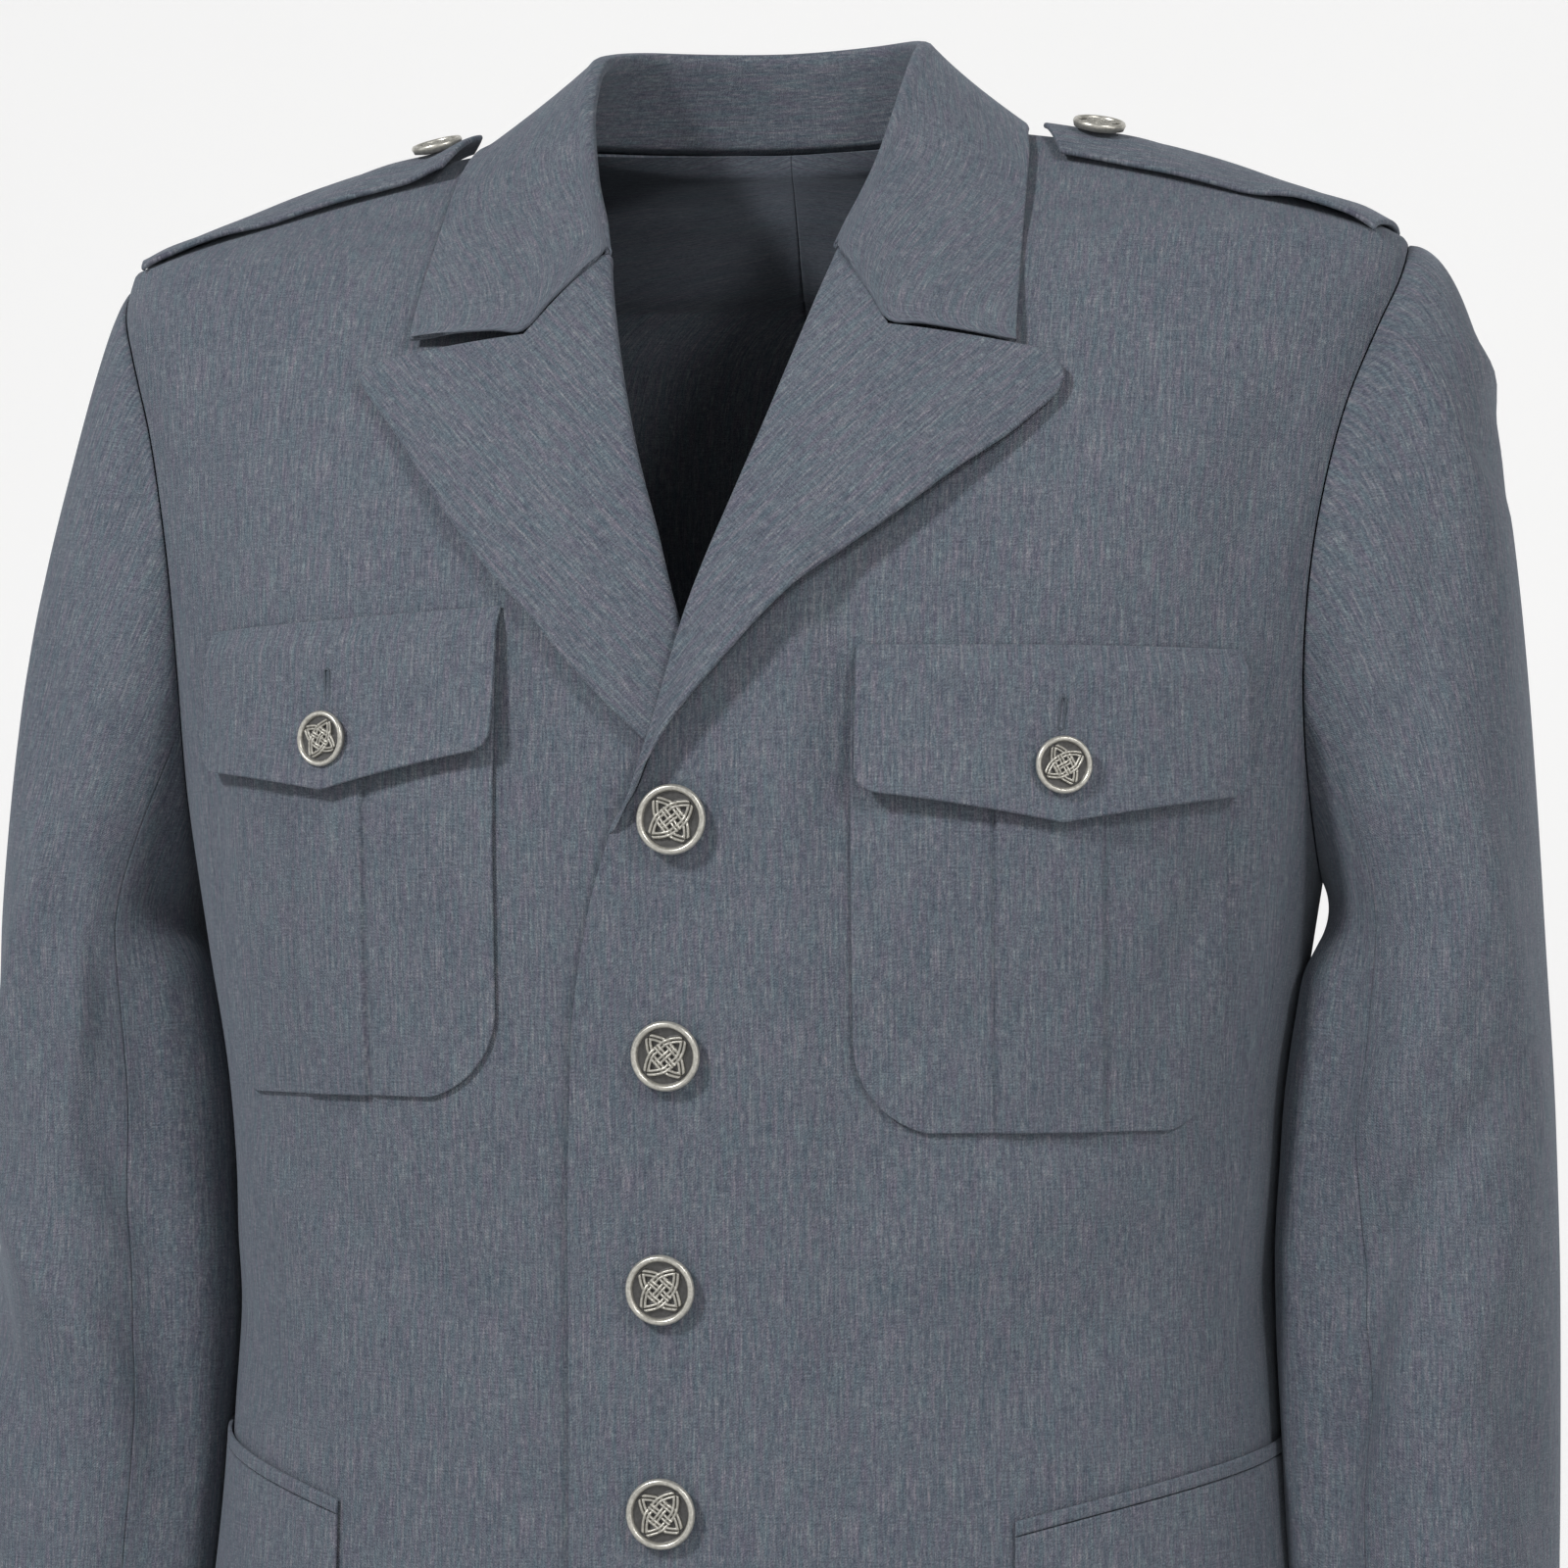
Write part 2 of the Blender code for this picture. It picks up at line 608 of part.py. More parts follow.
def sleeve_point(turn, place, swell, out=0.0):
    def surface(u, v):
        return sleeve_surface(u, v, swell)

    return surface(turn, place) + out * normals_of(surface, turn, place, 1e-3, 1e-3)


def make_sleeves(look):
    lower = [1 + (h - SLEEVE_TOP) / (CUFF_HEIGHT - SLEEVE_TOP) for h in SLEEVE_LOWER_HEIGHTS]
    places = np.array(list(SLEEVE_CAP_STEPS) + lower)[:, None]
    step = 2 * np.pi / ARMHOLE_POINTS
    top = np.arange(BACK_SLEEVE_SEAM_STEP - ARMHOLE_POINTS, FRONT_SLEEVE_SEAM_STEP + 1) * step
    under = np.arange(FRONT_SLEEVE_SEAM_STEP, BACK_SLEEVE_SEAM_STEP + 1) * step
    for name, turns in (("sleeve_top", top), ("sleeve_under", under)):
        turns = turns.copy()
        turns[0] += SLEEVE_SEAM_TURN
        turns[-1] -= SLEEVE_SEAM_TURN
        for word, swell in (("left", CAP_SWELL_LEFT), ("right", CAP_SWELL_RIGHT)):
            outer = sleeve_point(turns[None, :], places, swell)
            inner = sleeve_point(turns[None, :], places, swell, -PANEL_WALL)
            if word == "right":
                outer, inner = mirrored(outer), mirrored(inner)
            wall(f"{name}_{word}", outer, inner, look)


# Lapels and collar


def lapel_edge(share):
    x = smooth_curve(LAPEL_EDGE[:, 0], LAPEL_EDGE[:, 1], share)
    z = smooth_curve(LAPEL_EDGE[:, 0], LAPEL_EDGE[:, 2], share)
    return np.stack([x, z], axis=-1)


def lapel_grid(share):
    """Across and height of the lapel's points, from the break up to the gorge seam."""
    t = LAPEL_COLUMNS[None, :]
    roll_height = BREAK_HEIGHT + 0.006 + (GORGE_HEIGHT - BREAK_HEIGHT - 0.006) * share
    roll = np.stack([front_edge(roll_height), roll_height], axis=-1)
    edge = lapel_edge(share)
    straight = roll + (edge - roll) * t[..., None]
    corners = np.array((roll[-1, 0], NOTCH, LAPEL_CORNER, edge[-1, 0]))
    shares = (0, NOTCH_SHARE, LAPEL_CORNER_SHARE, 1)
    top = np.stack([np.interp(t, shares, corners[:, k]) for k in (0, 1)], axis=-1)
    bend = top - straight[-1:, :]
    return straight + bend * (share**LAPEL_TOP_BEND)[..., None]


def fall_lift(t, width):
    """The space under a lapel or a collar's fall, from the fold to the outer edge."""
    return LAPEL_SEAT + LAPEL_LIFT * width * (np.sin(np.pi * t**0.8) * 0.75 + 0.30 * t)


def make_lapels(look):
    share = np.concatenate([np.linspace(0, 0.84, 9), (0.90, 0.95, 1.0)])[:, None]
    grid = lapel_grid(share)
    x, z = grid[..., 0], grid[..., 1]
    t = LAPEL_COLUMNS[None, :]
    width = np.linalg.norm(grid[:, -1:] - grid[:, :1], axis=-1)
    lift = fall_lift(t, width)
    angles = angle_at_width(x, z)
    for name, ease, side in (("lapel_left", lap_ease(x, z), 1), ("lapel_right", 0 * x, -1)):
        outer = body_point(angles, z, ease + lift + LAPEL_WALL)
        inner = body_point(angles, z, ease + lift)
        if side < 0:
            outer, inner = mirrored(outer), mirrored(inner)
        wall(name, outer, inner, look)


def front_surface_depth(x, height):
    """How far forward the body's surface is, or zero past its ridge."""
    share = np.clip(np.abs(x) / ring("half_width", height), 0, 1)
    power = ring("squareness", height)
    return (1 - share**power) ** (1 / power)


def collar_station(share):
    values = [
        smooth_curve(COLLAR_STATIONS[:, 0], COLLAR_STATIONS[:, k], share) for k in range(1, 7)
    ]
    angle, height = neck_seam(share)
    seat = COLLAR_SEAT + (COLLAR_END_SEAT - COLLAR_SEAT) * smooth_step(0.86, 1.0, share)
    seam = body_point(np.array(angle), np.array(height), np.array(seat))
    return seam, np.array(values[0:3]), np.array(values[3:6])


def clear_of_body(point, clear):
    """The point, moved forward or back where needed to lie that far off the body."""
    x, y, z = point
    reach = float(front_surface_depth(x, z))
    if reach <= 0 or z > NECK_POINT_HEIGHT:
        return point
    if y < 0:
        return np.array((x, min(y, -float(ring("front_depth", z)) * reach - clear), z))
    return np.array((x, max(y, float(ring("back_depth", z)) * reach + clear), z))


def gorge_row():
    """The front end of the collar's fall, a seam's gap above the lapel's top edge."""
    t = np.maximum(LAPEL_COLUMNS, GORGE_START)
    roll = np.array((front_edge(GORGE_HEIGHT), GORGE_HEIGHT))
    notch = np.array(NOTCH)
    first = roll + (notch - roll) * (t / NOTCH_SHARE)[:, None]
    past = ((t - NOTCH_SHARE) / (1 - NOTCH_SHARE))[:, None]
    second = notch + (np.array(COLLAR_CORNER) - notch) * past
    place = np.where((t < NOTCH_SHARE)[:, None], first, second)
    x, z = place[:, 0], place[:, 1] + GORGE_GAP
    width = np.linalg.norm(lapel_edge(1.0) - roll)
    return body_point(angle_at_width(x, z), z, fall_lift(t, width) + LAPEL_WALL)


def collar_profile(share):
    """One section of the collar, from its neck seam over the fold to the outer edge."""
    seam, fold, edge = collar_station(share)
    outward = edge - fold
    outward[2] = 0
    outward /= np.linalg.norm(outward)
    up = np.array((0, 0, 1.0))
    start = fold + outward * COLLAR_FOLD
    crest = fold + (outward * CREST_OUT + up * CREST_UP) * COLLAR_FOLD
    length = np.linalg.norm(edge - start)
    end_weight = smooth_step(COLLAR_END_START, 1.0, share) ** COLLAR_END_BEND
    points = [seam, seam * 0.5 + fold * 0.5, fold, crest]
    for t, end in zip(LAPEL_COLUMNS, gorge_row()):
        clear = fall_lift(t, length) + COLLAR_WALL + COLLAR_SEAT
        point = clear_of_body(start * (1 - t) + edge * t, clear)
        points.append(point + (end - point) * end_weight)
    return np.array(points)


def make_collar(look):
    left = np.array([collar_profile(share) for share in COLLAR_ROWS])
    right = mirrored(left[:0:-1])
    grid = np.concatenate([right, left])
    across = np.gradient(grid, axis=0)
    along = np.gradient(grid, axis=1)
    normal = np.cross(along, across)
    normal /= np.linalg.norm(normal, axis=-1, keepdims=True)
    wall("collar", grid, grid - COLLAR_WALL * normal, look)


# Pockets and flaps


def sewn_pieces(name, place_function, look):
    """The left and right pieces of a pair. The left front is drawn further across than the right."""
    for word, side in (("left", 1), ("right", -1)):
        outer, inner = place_function(side)
        if side < 0:
            outer, inner = mirrored(outer), mirrored(inner)
        wall(f"{name}_{word}", outer, inner, look)


def breast_rise(side):
    return BREAST_RIGHT_RISE * (1 - side) / 2


def breast_pocket(side):
    heights = BREAST_TOP + (BREAST_BOTTOM - BREAST_TOP) * BREAST_ROWS
    above = np.clip(BREAST_CORNER - (heights - BREAST_BOTTOM), 0, BREAST_CORNER)
    inset = BREAST_CORNER - np.sqrt(BREAST_CORNER**2 - (above * BREAST_CORNER_END) ** 2)
    fold = PLEAT_WIDTH / 2
    rows = []
    for reach in BREAST_WIDTH / 2 - inset:
        cloth = np.linspace(reach, fold + PLEAT_EDGE, 5)
        rows.append(np.concatenate([-cloth, (-fold, fold), cloth[::-1]]))
    places = BREAST_CENTRE - side * BREAST_SHIFT + np.array(rows)
    rise = np.zeros(places.shape)
    rise[:, 5:7] = PLEAT_RISE
    grid = np.repeat(heights[:, None], places.shape[1], axis=1) + breast_rise(side)
    outer = girth_point(places, grid, POCKET_SEAT + POCKET_WALL + rise)
    return outer, girth_point(places, grid, POCKET_SEAT)


def breast_flap(side):
    across = np.concatenate([-FLAP_COLUMNS[:0:-1], FLAP_COLUMNS])[None, :]
    down = np.linspace(0, 1, 6)[:, None]
    width = FLAP_WIDTH_LEFT if side > 0 else FLAP_WIDTH_RIGHT
    from_side = width / 2 * (1 - np.abs(across))
    round_part = np.clip(FLAP_CORNER - from_side, 0, FLAP_CORNER)
    low = FLAP_SIDE + (FLAP_POINT - FLAP_SIDE) * (1 - np.abs(across)) ** FLAP_POINT_BEND
    low = low + FLAP_CORNER - np.sqrt(FLAP_CORNER**2 - round_part**2)
    heights = FLAP_TOP + (low - FLAP_TOP) * down + breast_rise(side)
    places = FLAP_CENTRE + width / 2 * across + 0 * down
    over_pocket = POCKET_SEAT + POCKET_WALL + PLEAT_RISE + SEAM_GAP
    lift = SEAM_GAP + over_pocket * smooth_step(0.0, 0.20, down) + FLAP_LIFT * down**2
    lift = lift + 0 * across
    return girth_point(places, heights, lift + FLAP_WALL), girth_point(places, heights, lift)


def skirt_height(share):
    return SKIRT_HEIGHT + SKIRT_RISE * (1 - (1 - share) ** 2)


def skirt_band(side):
    share = np.linspace(0, 1, 15)[None, :] + np.zeros((2, 1))
    places = SKIRT_START - side * SKIRT_SHIFT + SKIRT_WIDTH * share
    heights = skirt_height(share) - SKIRT_BAND * np.array((0.0, 1.0))[:, None]
    outer = girth_point(places, heights, BAND_SEAT + FLAP_WALL)
    return outer, girth_point(places, heights, BAND_SEAT)


def skirt_flap(side):
    down = np.linspace(0, 1, 4)[:, None]
    share = np.linspace(0, 1, 15)[None, :] + 0 * down
    places = SKIRT_START - side * SKIRT_SHIFT + SKIRT_WIDTH * share
    heights = skirt_height(share) - SKIRT_BAND - SEAM_GAP - SKIRT_FLAP_DEPTH * down
    lift = BAND_SEAT + FLAP_LIFT * 0.5 * down**2 + 0 * share
    return girth_point(places, heights, lift + FLAP_WALL), girth_point(places, heights, lift)


def make_pockets(look):
    sewn_pieces("breast_pocket", breast_pocket, look)
    sewn_pieces("breast_flap", breast_flap, look)
    sewn_pieces("skirt_pocket_band", skirt_band, look)
    sewn_pieces("skirt_pocket_flap", skirt_flap, look)


# Shoulder straps


def shoulder_height(x, y):
    """The height of the body's surface above a place on the shoulder."""
    x, y = np.broadcast_arrays(np.asarray(x, float), np.asarray(y, float))
    low = np.full(x.shape, SHOULDER_LOWEST)
    high = np.full(x.shape, SHOULDER_HIGHEST)
    for _ in range(SHOULDER_HALVINGS):
        middle = (low + high) / 2
        depth = np.where(y < 0, ring("front_depth", middle), ring("back_depth", middle))
        power = ring("squareness", middle)
        share = (np.abs(x) / ring("half_width", middle)) ** power + (np.abs(y) / depth) ** power
        inside = share < 1
        low = np.where(inside, middle, low)
        high = np.where(inside, high, middle)
    return (low + high) / 2


def shoulder_surface(x, y):
    x, y = np.broadcast_arrays(np.asarray(x, float), np.asarray(y, float))
    return np.stack([x, y, shoulder_height(x, y)], axis=-1)


def shoulder_point(x, y, out):
    normal = normals_of(shoulder_surface, x, y, 1e-3, 1e-3)
    return shoulder_surface(x, y) + np.asarray(out)[..., None] * normal


def strap_tip(side):
    return STRAP_TIP_LEFT if side > 0 else STRAP_TIP_RIGHT


def strap_lift(along):
    return STRAP_SEAT + STRAP_TIP_LIFT * (1 - along) ** STRAP_TIP_CURL


def shoulder_strap(side):
    """The strap lies along the shoulder, with its point towards the neck."""
    along = 1 - (1 - np.linspace(0, 1, 12)[:, None]) ** STRAP_ROW_CLOSENESS
    across = np.linspace(-1, 1, 7)[None, :]
    width = STRAP_TIP_WIDTH + (STRAP_SHOULDER_WIDTH - STRAP_TIP_WIDTH) * along
    start = strap_tip(side) + STRAP_POINT * np.abs(across)
    y = width / 2 * across - STRAP_FORWARD
    end = STRAP_END - STRAP_END_CURVE * y**2
    x = start + (end - start) * along
    lift = strap_lift(along) + 0 * across
    return shoulder_point(x, y, lift + STRAP_WALL), shoulder_point(x, y, lift)


# Buttons


def make_button(name, place, normal, diameter, look):
    """A turned metal button whose back faces the cloth."""
    radius = diameter / 2
    mesh = bpy.data.meshes.new(name)
    points = [(across * radius, 0.0, up * radius) for across, up in BUTTON_PROFILE]
    mesh.from_pydata(points, [(k, k + 1) for k in range(len(points) - 1)], [])
    mesh.materials.append(look)
    button = bpy.data.objects.new(name, mesh)
    JACKET.objects.link(button)
    turned = button.modifiers.new("Turned", "SCREW")
    turned.steps = 16
    turned.render_steps = 16
    turned.use_merge_vertices = True
    turned.merge_threshold = 0.00005
    turned.use_smooth_shade = True
    turn = Vector((0, 0, 1)).rotation_difference(Vector(normal))
    button.matrix_world = Matrix.Translation(Vector(place)) @ turn.to_matrix().to_4x4()
    return button


def body_button(name, angle, height, out, diameter, look, side=1):
    normal = normals_of(body_surface, np.array(angle), np.array(height))
    place = body_surface(angle, height) + out * normal
    flip = np.array((side, 1, 1))
    make_button(name, place * flip, normal * flip, diameter, look)


def flap_button(side, look):
    height = FLAP_TOP + (FLAP_POINT - FLAP_TOP) * FLAP_BUTTON_SHARE + breast_rise(side)
    angle = float(angle_at_girth(FLAP_CENTRE, height))
    out = SEAM_GAP * 3 + POCKET_SEAT + POCKET_WALL + PLEAT_RISE + FLAP_WALL
    out += FLAP_LIFT * FLAP_BUTTON_TOP**2
    name = "flap_button_left" if side > 0 else "flap_button_right"
    body_button(name, angle, height, out, SMALL_BUTTON, look, side)


def strap_button(side, look):
    x = np.array(strap_tip(side) + (STRAP_BUTTON_LEFT if side > 0 else STRAP_BUTTON_RIGHT))
    y = np.array(-STRAP_BUTTON_FORWARD)
    normal = normals_of(shoulder_surface, x, y, 1e-3, 1e-3)
    out = strap_lift(0) + STRAP_WALL + SEAM_GAP
    flip = np.array((side, 1, 1))
    place = shoulder_surface(x, y) + normal * out
    name = "strap_button_left" if side > 0 else "strap_button_right"
    make_button(name, place * flip, normal * flip, SMALL_BUTTON, look)


def make_buttons(look):
    for number, (across, height) in enumerate(FRONT_BUTTONS, 1):
        out = float(lap_ease(across, height)) + SEAM_GAP
        angle = float(angle_at_width(across, height))
        body_button(f"front_button_{number}", angle, height, out, FRONT_BUTTON, look)
    for side in (1, -1):
        flap_button(side, look)
        strap_button(side, look)


clear_scene()
JACKET = bpy.data.collections.new("army_dress_uniform_jacket")
bpy.context.scene.collection.children.link(JACKET)
CLOTH = material("blue_grey_suiting", CLOTH_COLOUR, 0.85, 0.0)
METAL = material("antique_pewter", METAL_COLOUR, 0.42, 0.9)
make_fronts(CLOTH)
make_sides(CLOTH)
make_backs(CLOTH)
make_sleeves(CLOTH)
make_lapels(CLOTH)
make_collar(CLOTH)
make_pockets(CLOTH)
sewn_pieces("strap", shoulder_strap, CLOTH)
make_buttons(METAL)
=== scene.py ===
"""Looks of the army dress uniform jacket: thin cloth shells, buttons, buttonholes, light and camera.

Metres, +Z up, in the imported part's frame: the origin is at the base of the neck, -Y is the front
and +X the wearer's left. The shells lie on the part's own surfaces, which the tables and functions
below repeat at a finer step, with the creases, turned edges and folds that the cloth has.
"""

import math

import bpy
import numpy as np
from mathutils import Euler, Matrix, Vector


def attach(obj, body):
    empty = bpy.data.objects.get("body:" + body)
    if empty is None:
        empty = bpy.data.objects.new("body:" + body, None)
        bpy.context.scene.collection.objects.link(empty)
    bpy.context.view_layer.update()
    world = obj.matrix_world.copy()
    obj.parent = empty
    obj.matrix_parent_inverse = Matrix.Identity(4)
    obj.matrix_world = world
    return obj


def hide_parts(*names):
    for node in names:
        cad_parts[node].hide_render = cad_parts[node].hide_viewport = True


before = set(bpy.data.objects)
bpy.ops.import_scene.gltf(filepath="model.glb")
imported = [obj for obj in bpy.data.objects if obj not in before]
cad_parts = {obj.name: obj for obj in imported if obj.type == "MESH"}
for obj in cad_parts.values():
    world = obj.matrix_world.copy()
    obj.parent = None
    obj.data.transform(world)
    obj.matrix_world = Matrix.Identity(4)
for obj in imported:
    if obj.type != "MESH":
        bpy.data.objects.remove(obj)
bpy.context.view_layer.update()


def table(columns, *rows):
    """A table of sizes. Columns whose names end in mm are turned into metres."""
    return np.array(rows) * [0.001 if name.endswith("mm") else 1 for name in columns.split()]


# Cloth
SEAM_GAP = 0.0003
CLOTH_WALL = 0.0014
POCKET_WALL = 0.0012
FLAP_WALL = 0.0016
LAPEL_WALL = 0.0020
COLLAR_WALL = 0.0016
STRAP_WALL = 0.0022

# Lengths from the base of the neck
HEM_HEIGHT = -0.740
UNDERARM_HEIGHT = -0.277
SHOULDER_TIP_HEIGHT = -0.046
NECK_POINT_HEIGHT = 0.001
BACK_NECK_HEIGHT = 0.010
CUFF_HEIGHT = -0.670

# The body's horizontal rings, from hem to neck. Squareness 2 is an ellipse.
RING_COLUMNS = "height_mm half_width_mm front_depth_mm back_depth_mm squareness"
RINGS = table(
    RING_COLUMNS,
    (-740, 209, 131, 122, 2.45), (-650, 205, 131, 121, 2.45), (-560, 200, 129, 118, 2.45),
    (-480, 195, 128, 113, 2.4), (-430, 192.5, 129, 110, 2.4), (-365, 195, 132, 113, 2.4),
    (-300, 205, 137, 124, 2.4), (-260, 211.5, 139, 132, 2.4), (-200, 221, 136, 138, 2.4),
    (-150, 229, 126, 136, 2.45), (-110, 236, 108, 127, 2.6), (-80, 241.5, 90, 115, 2.8),
    (-62, 243, 77, 106, 3), (-46, 241, 62, 98, 3.1), (-41, 234, 57, 94, 2.9),
    (-29, 206, 47, 88, 2.5), (-21, 186, 41, 84, 2.3), (-14, 166, 35, 80, 2.15),
    (-8, 146, 30, 77, 2.05), (-3, 121, 26, 74, 2), (0, 101, 23, 72, 2), (3, 80, 20, 70, 2),
    (12, 65, 16, 67, 2),
)

# The left front's inner edge: height and across
FRONT_EDGE = table(
    "height_mm across_mm",
    (-740, -40.5), (-400, -40.5), (-332, -38.3), (-288, -31.6), (-262, -23.5), (-241, -14.5),
    (-191, 0.5), (-120, 24), (-60, 40), (-53.5, 41.5), (-38, 53), (-20, 64), (-8, 72), (1, 80),
)
GORGE_HEIGHT = -0.0535

# How far the left front stands out over the right one: height and rise
LAP_EASE = table(
    "height_mm rise_mm",
    (-740, 3.4), (-280, 3.4), (-245, 6.2), (-190, 6.2), (-140, 2), (-60, 0),
)
LAP_FULL_WIDTH = 0.038
LAP_END_WIDTH = 0.056

# Each lapel's outer edge from the break to its point: share, across and height
EDGE_COLUMNS = "share across_mm height_mm"
LAPEL_EDGES = {
    "left": table(
        EDGE_COLUMNS,
        (0, -21.5, -261.5), (0.04, -16.5, -253.5), (0.08, -12.2, -245.8), (0.12, -8.3, -238.5),
        (0.19, -0.9, -226.5), (0.29, 12.2, -210.5), (0.4, 28.4, -192.5), (0.51, 49.3, -173),
        (0.62, 68.3, -158.6), (0.75, 90.3, -141.2), (0.89, 108.1, -127.6), (0.96, 117.9, -118.2),
        (0.99, 123.8, -112), (1, 126.2, -106.2),
    ),
    "right": table(
        EDGE_COLUMNS,
        (0, -21, -261), (0.08, -7, -247), (0.2, 13.1, -229.6), (0.3, 26.1, -217.3),
        (0.39, 39.2, -203.7), (0.5, 52.6, -188), (0.6, 67.5, -173), (0.76, 88, -148.4),
        (0.9, 105.5, -125.2), (0.98, 119.9, -107.6), (1, 126.2, -100),
    ),
}
LAPEL_START = -0.2620
LAPEL_BELLY = {"left": 0.0085, "right": 0.0022}
ROLL_RADIUS = 0.00115
ROLL_TUCK = ROLL_RADIUS + LAPEL_WALL
RIGHT_ROLL_SHIFT = 0.0015
LAPEL_GRAIN = -45

NOTCH_SHARE = 0.36
LAPEL_TOPS = {
    "left": table(
        EDGE_COLUMNS,
        (NOTCH_SHARE, 65, -87.8), (0.84, 115, -95.8), (0.93, 121, -98.3), (0.98, 125, -101.8),
        (1, 126.2, -106.2),
    ),
    "right": table(
        EDGE_COLUMNS,
        (NOTCH_SHARE, 65, -87.8), (0.84, 115, -93.8), (0.95, 123.5, -96.2), (1, 126.2, -100),
    ),
}
LAPEL_SEAT = 0.0008
LAPEL_LIFT = 0.055
GORGE_GAP = 0.0006
GORGE_START = 0.04
COLLAR_CORNERS = {"left": (0.1092, -0.0942), "right": (0.1080, -0.0868)}
COLLAR_EYELETS = (("collar_eyelet_left", 0.0850, -0.0660), ("collar_eyelet_right", -0.0790, -0.0650))
COLLAR_SEAT = 0.0010
COLLAR_END_SEAT = 0.0030
COLLAR_FOLD = 0.0048
COLLAR_COLUMNS = np.array((0.0, 0.12, 0.24, NOTCH_SHARE, 0.52, 0.68, 0.84, 1.0))

# The collar from the centre back to its front end: share, then fold and outer edge
NECK_POINT_SHARE = 0.52
COLLAR_STATIONS = table(
    "share fold_x_mm fold_y_mm fold_z_mm edge_x_mm edge_y_mm edge_z_mm",
    (-0.52, -60.5, 4, 33, -98.5, 6, 4), (-0.3, -44, 44, 43, -68, 58, -6),
    (0, 0, 62, 45, 0, 80, -8), (0.3, 44, 44, 43, 68, 58, -6), (0.52, 60.5, 4, 33, 98.5, 6, 4),
    (0.7, 58.5, -24, 12, 106, -26, -12), (0.84, 52.5, -45, -18, 107.5, -50, -40),
    (0.93, 45.5, -59, -39, 108, -65, -66), (1, 40.8, -68, -52, 108, -78, -91.5),
)

# Armhole, seen from the side
ARMHOLE_FRONT = 0.064
ARMHOLE_BACK = 0.066
ARMHOLE_SCOOP = 0.14
ARMHOLE_MIDDLE = (SHOULDER_TIP_HEIGHT + UNDERARM_HEIGHT) / 2
ARMHOLE_HALF = (SHOULDER_TIP_HEIGHT - UNDERARM_HEIGHT) / 2
SIDE_FRONT_TURN = math.radians(135)
SIDE_BACK_TURN = math.radians(225)
SIDE_FRONT_HEM = math.radians(63)
SIDE_BACK_HEM = math.radians(114)

# The sleeve's level rings: height, centre across and forward, half width, half depth, squareness
SLEEVE_RINGS = table(
    "height_mm centre_x_mm centre_y_mm half_width_mm half_depth_mm squareness",
    (-300, 250, 4, 38.5, 74, 2.2), (-365, 248, 5, 43.5, 72, 2.2), (-430, 247.5, 4, 45, 69.5, 2.2),
    (-500, 248, -1, 44, 65.5, 2.2), (-580, 250.5, -11, 41, 60, 2.2),
    (-670, 254.5, -25, 38.5, 54, 2.2),
)
SLEEVE_TOP = SLEEVE_RINGS[0, 0]
SLEEVE_FRONT_SEAM = math.radians(120)
SLEEVE_BACK_SEAM = math.radians(240)
CAP_SWELL = {"left": 0.42, "right": 0.10}

# Pockets and flaps: places are lengths round the body from the centre front
BREAST_CENTRE = 0.1295
BREAST_WIDTH = 0.1350
BREAST_SHIFT = 0.0040
BREAST_RIGHT_RISE = 0.0110
BREAST_TOP = -0.2125
BREAST_BOTTOM = -0.3630
BREAST_CORNER = 0.0300
PLEAT_RISE = 0.0012
PLEAT_FOLDS = {"left": (0.1065, 0.1430), "right": (0.1160, 0.1450)}
POCKET_SEAT = 0.0008
BAND_SEAT = 0.0007
FLAP_TOP = -0.1985
FLAP_SIDE = -0.2485
FLAP_POINT = -0.2585
FLAP_CENTRE = 0.1280
FLAP_WIDTH = {"left": 0.1370, "right": 0.1270}
FLAP_POINT_BEND = 1.3
FLAP_LIFT = 0.0036
FLAP_TILT = {"left": 0.0, "right": 0.0042}
FLAP_CORNER = 0.0070
SKIRT_START = 0.1215
SKIRT_SHIFT = 0.0100
SKIRT_WIDTH = 0.1600
SKIRT_HEIGHT = -0.4940
SKIRT_RISE = 0.0200
SKIRT_BAND = 0.0050
SKIRT_FLAP_DEPTH = 0.0620

# Shoulder straps
STRAP_TIP = {"left": 0.1080, "right": 0.1040}
STRAP_SHOULDER_WIDTH = 0.0540
STRAP_TIP_WIDTH = 0.0420
STRAP_POINT = 0.0090
STRAP_TIP_LIFT = 0.0022
STRAP_END = 0.2370
STRAP_END_CURVE = 7.0
STRAP_FORWARD = 0.0070
STRAP_SEAT = 0.0006

# Buttons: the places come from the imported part
FRONT_BUTTON = 0.0240
SMALL_BUTTON = 0.0195

SIDES = (("left", 1), ("right", -1))


# Curves and surfaces


def smooth_curve(knots, values, at):
    """A cubic through the knots that never overshoots them."""
    knots = np.asarray(knots, float)
    values = np.asarray(values, float)
    at = np.clip(np.asarray(at, float), knots[0], knots[-1])
    step = np.diff(knots)
    slope = np.diff(values) / step
    tangent = np.zeros_like(values)
    same = slope[:-1] * slope[1:] > 0
    total = np.where(same, slope[:-1] + slope[1:], 1.0)
    tangent[1:-1] = np.where(same, 2 * slope[:-1] * slope[1:] / total, 0.0)
    tangent[0] = slope[0]
    tangent[-1] = slope[-1]
    i = np.clip(np.searchsorted(knots, at, side="right") - 1, 0, len(knots) - 2)
    t = (at - knots[i]) / step[i]
    start = values[i] * (1 + 2 * t) * (1 - t) ** 2 + tangent[i] * step[i] * t * (1 - t) ** 2
    end = values[i + 1] * t * t * (3 - 2 * t) + tangent[i + 1] * step[i] * t * t * (t - 1)
    return start + end


def smooth_step(start, end, at):
    t = np.clip((at - start) / (end - start), 0, 1)
    return t * t * (3 - 2 * t)


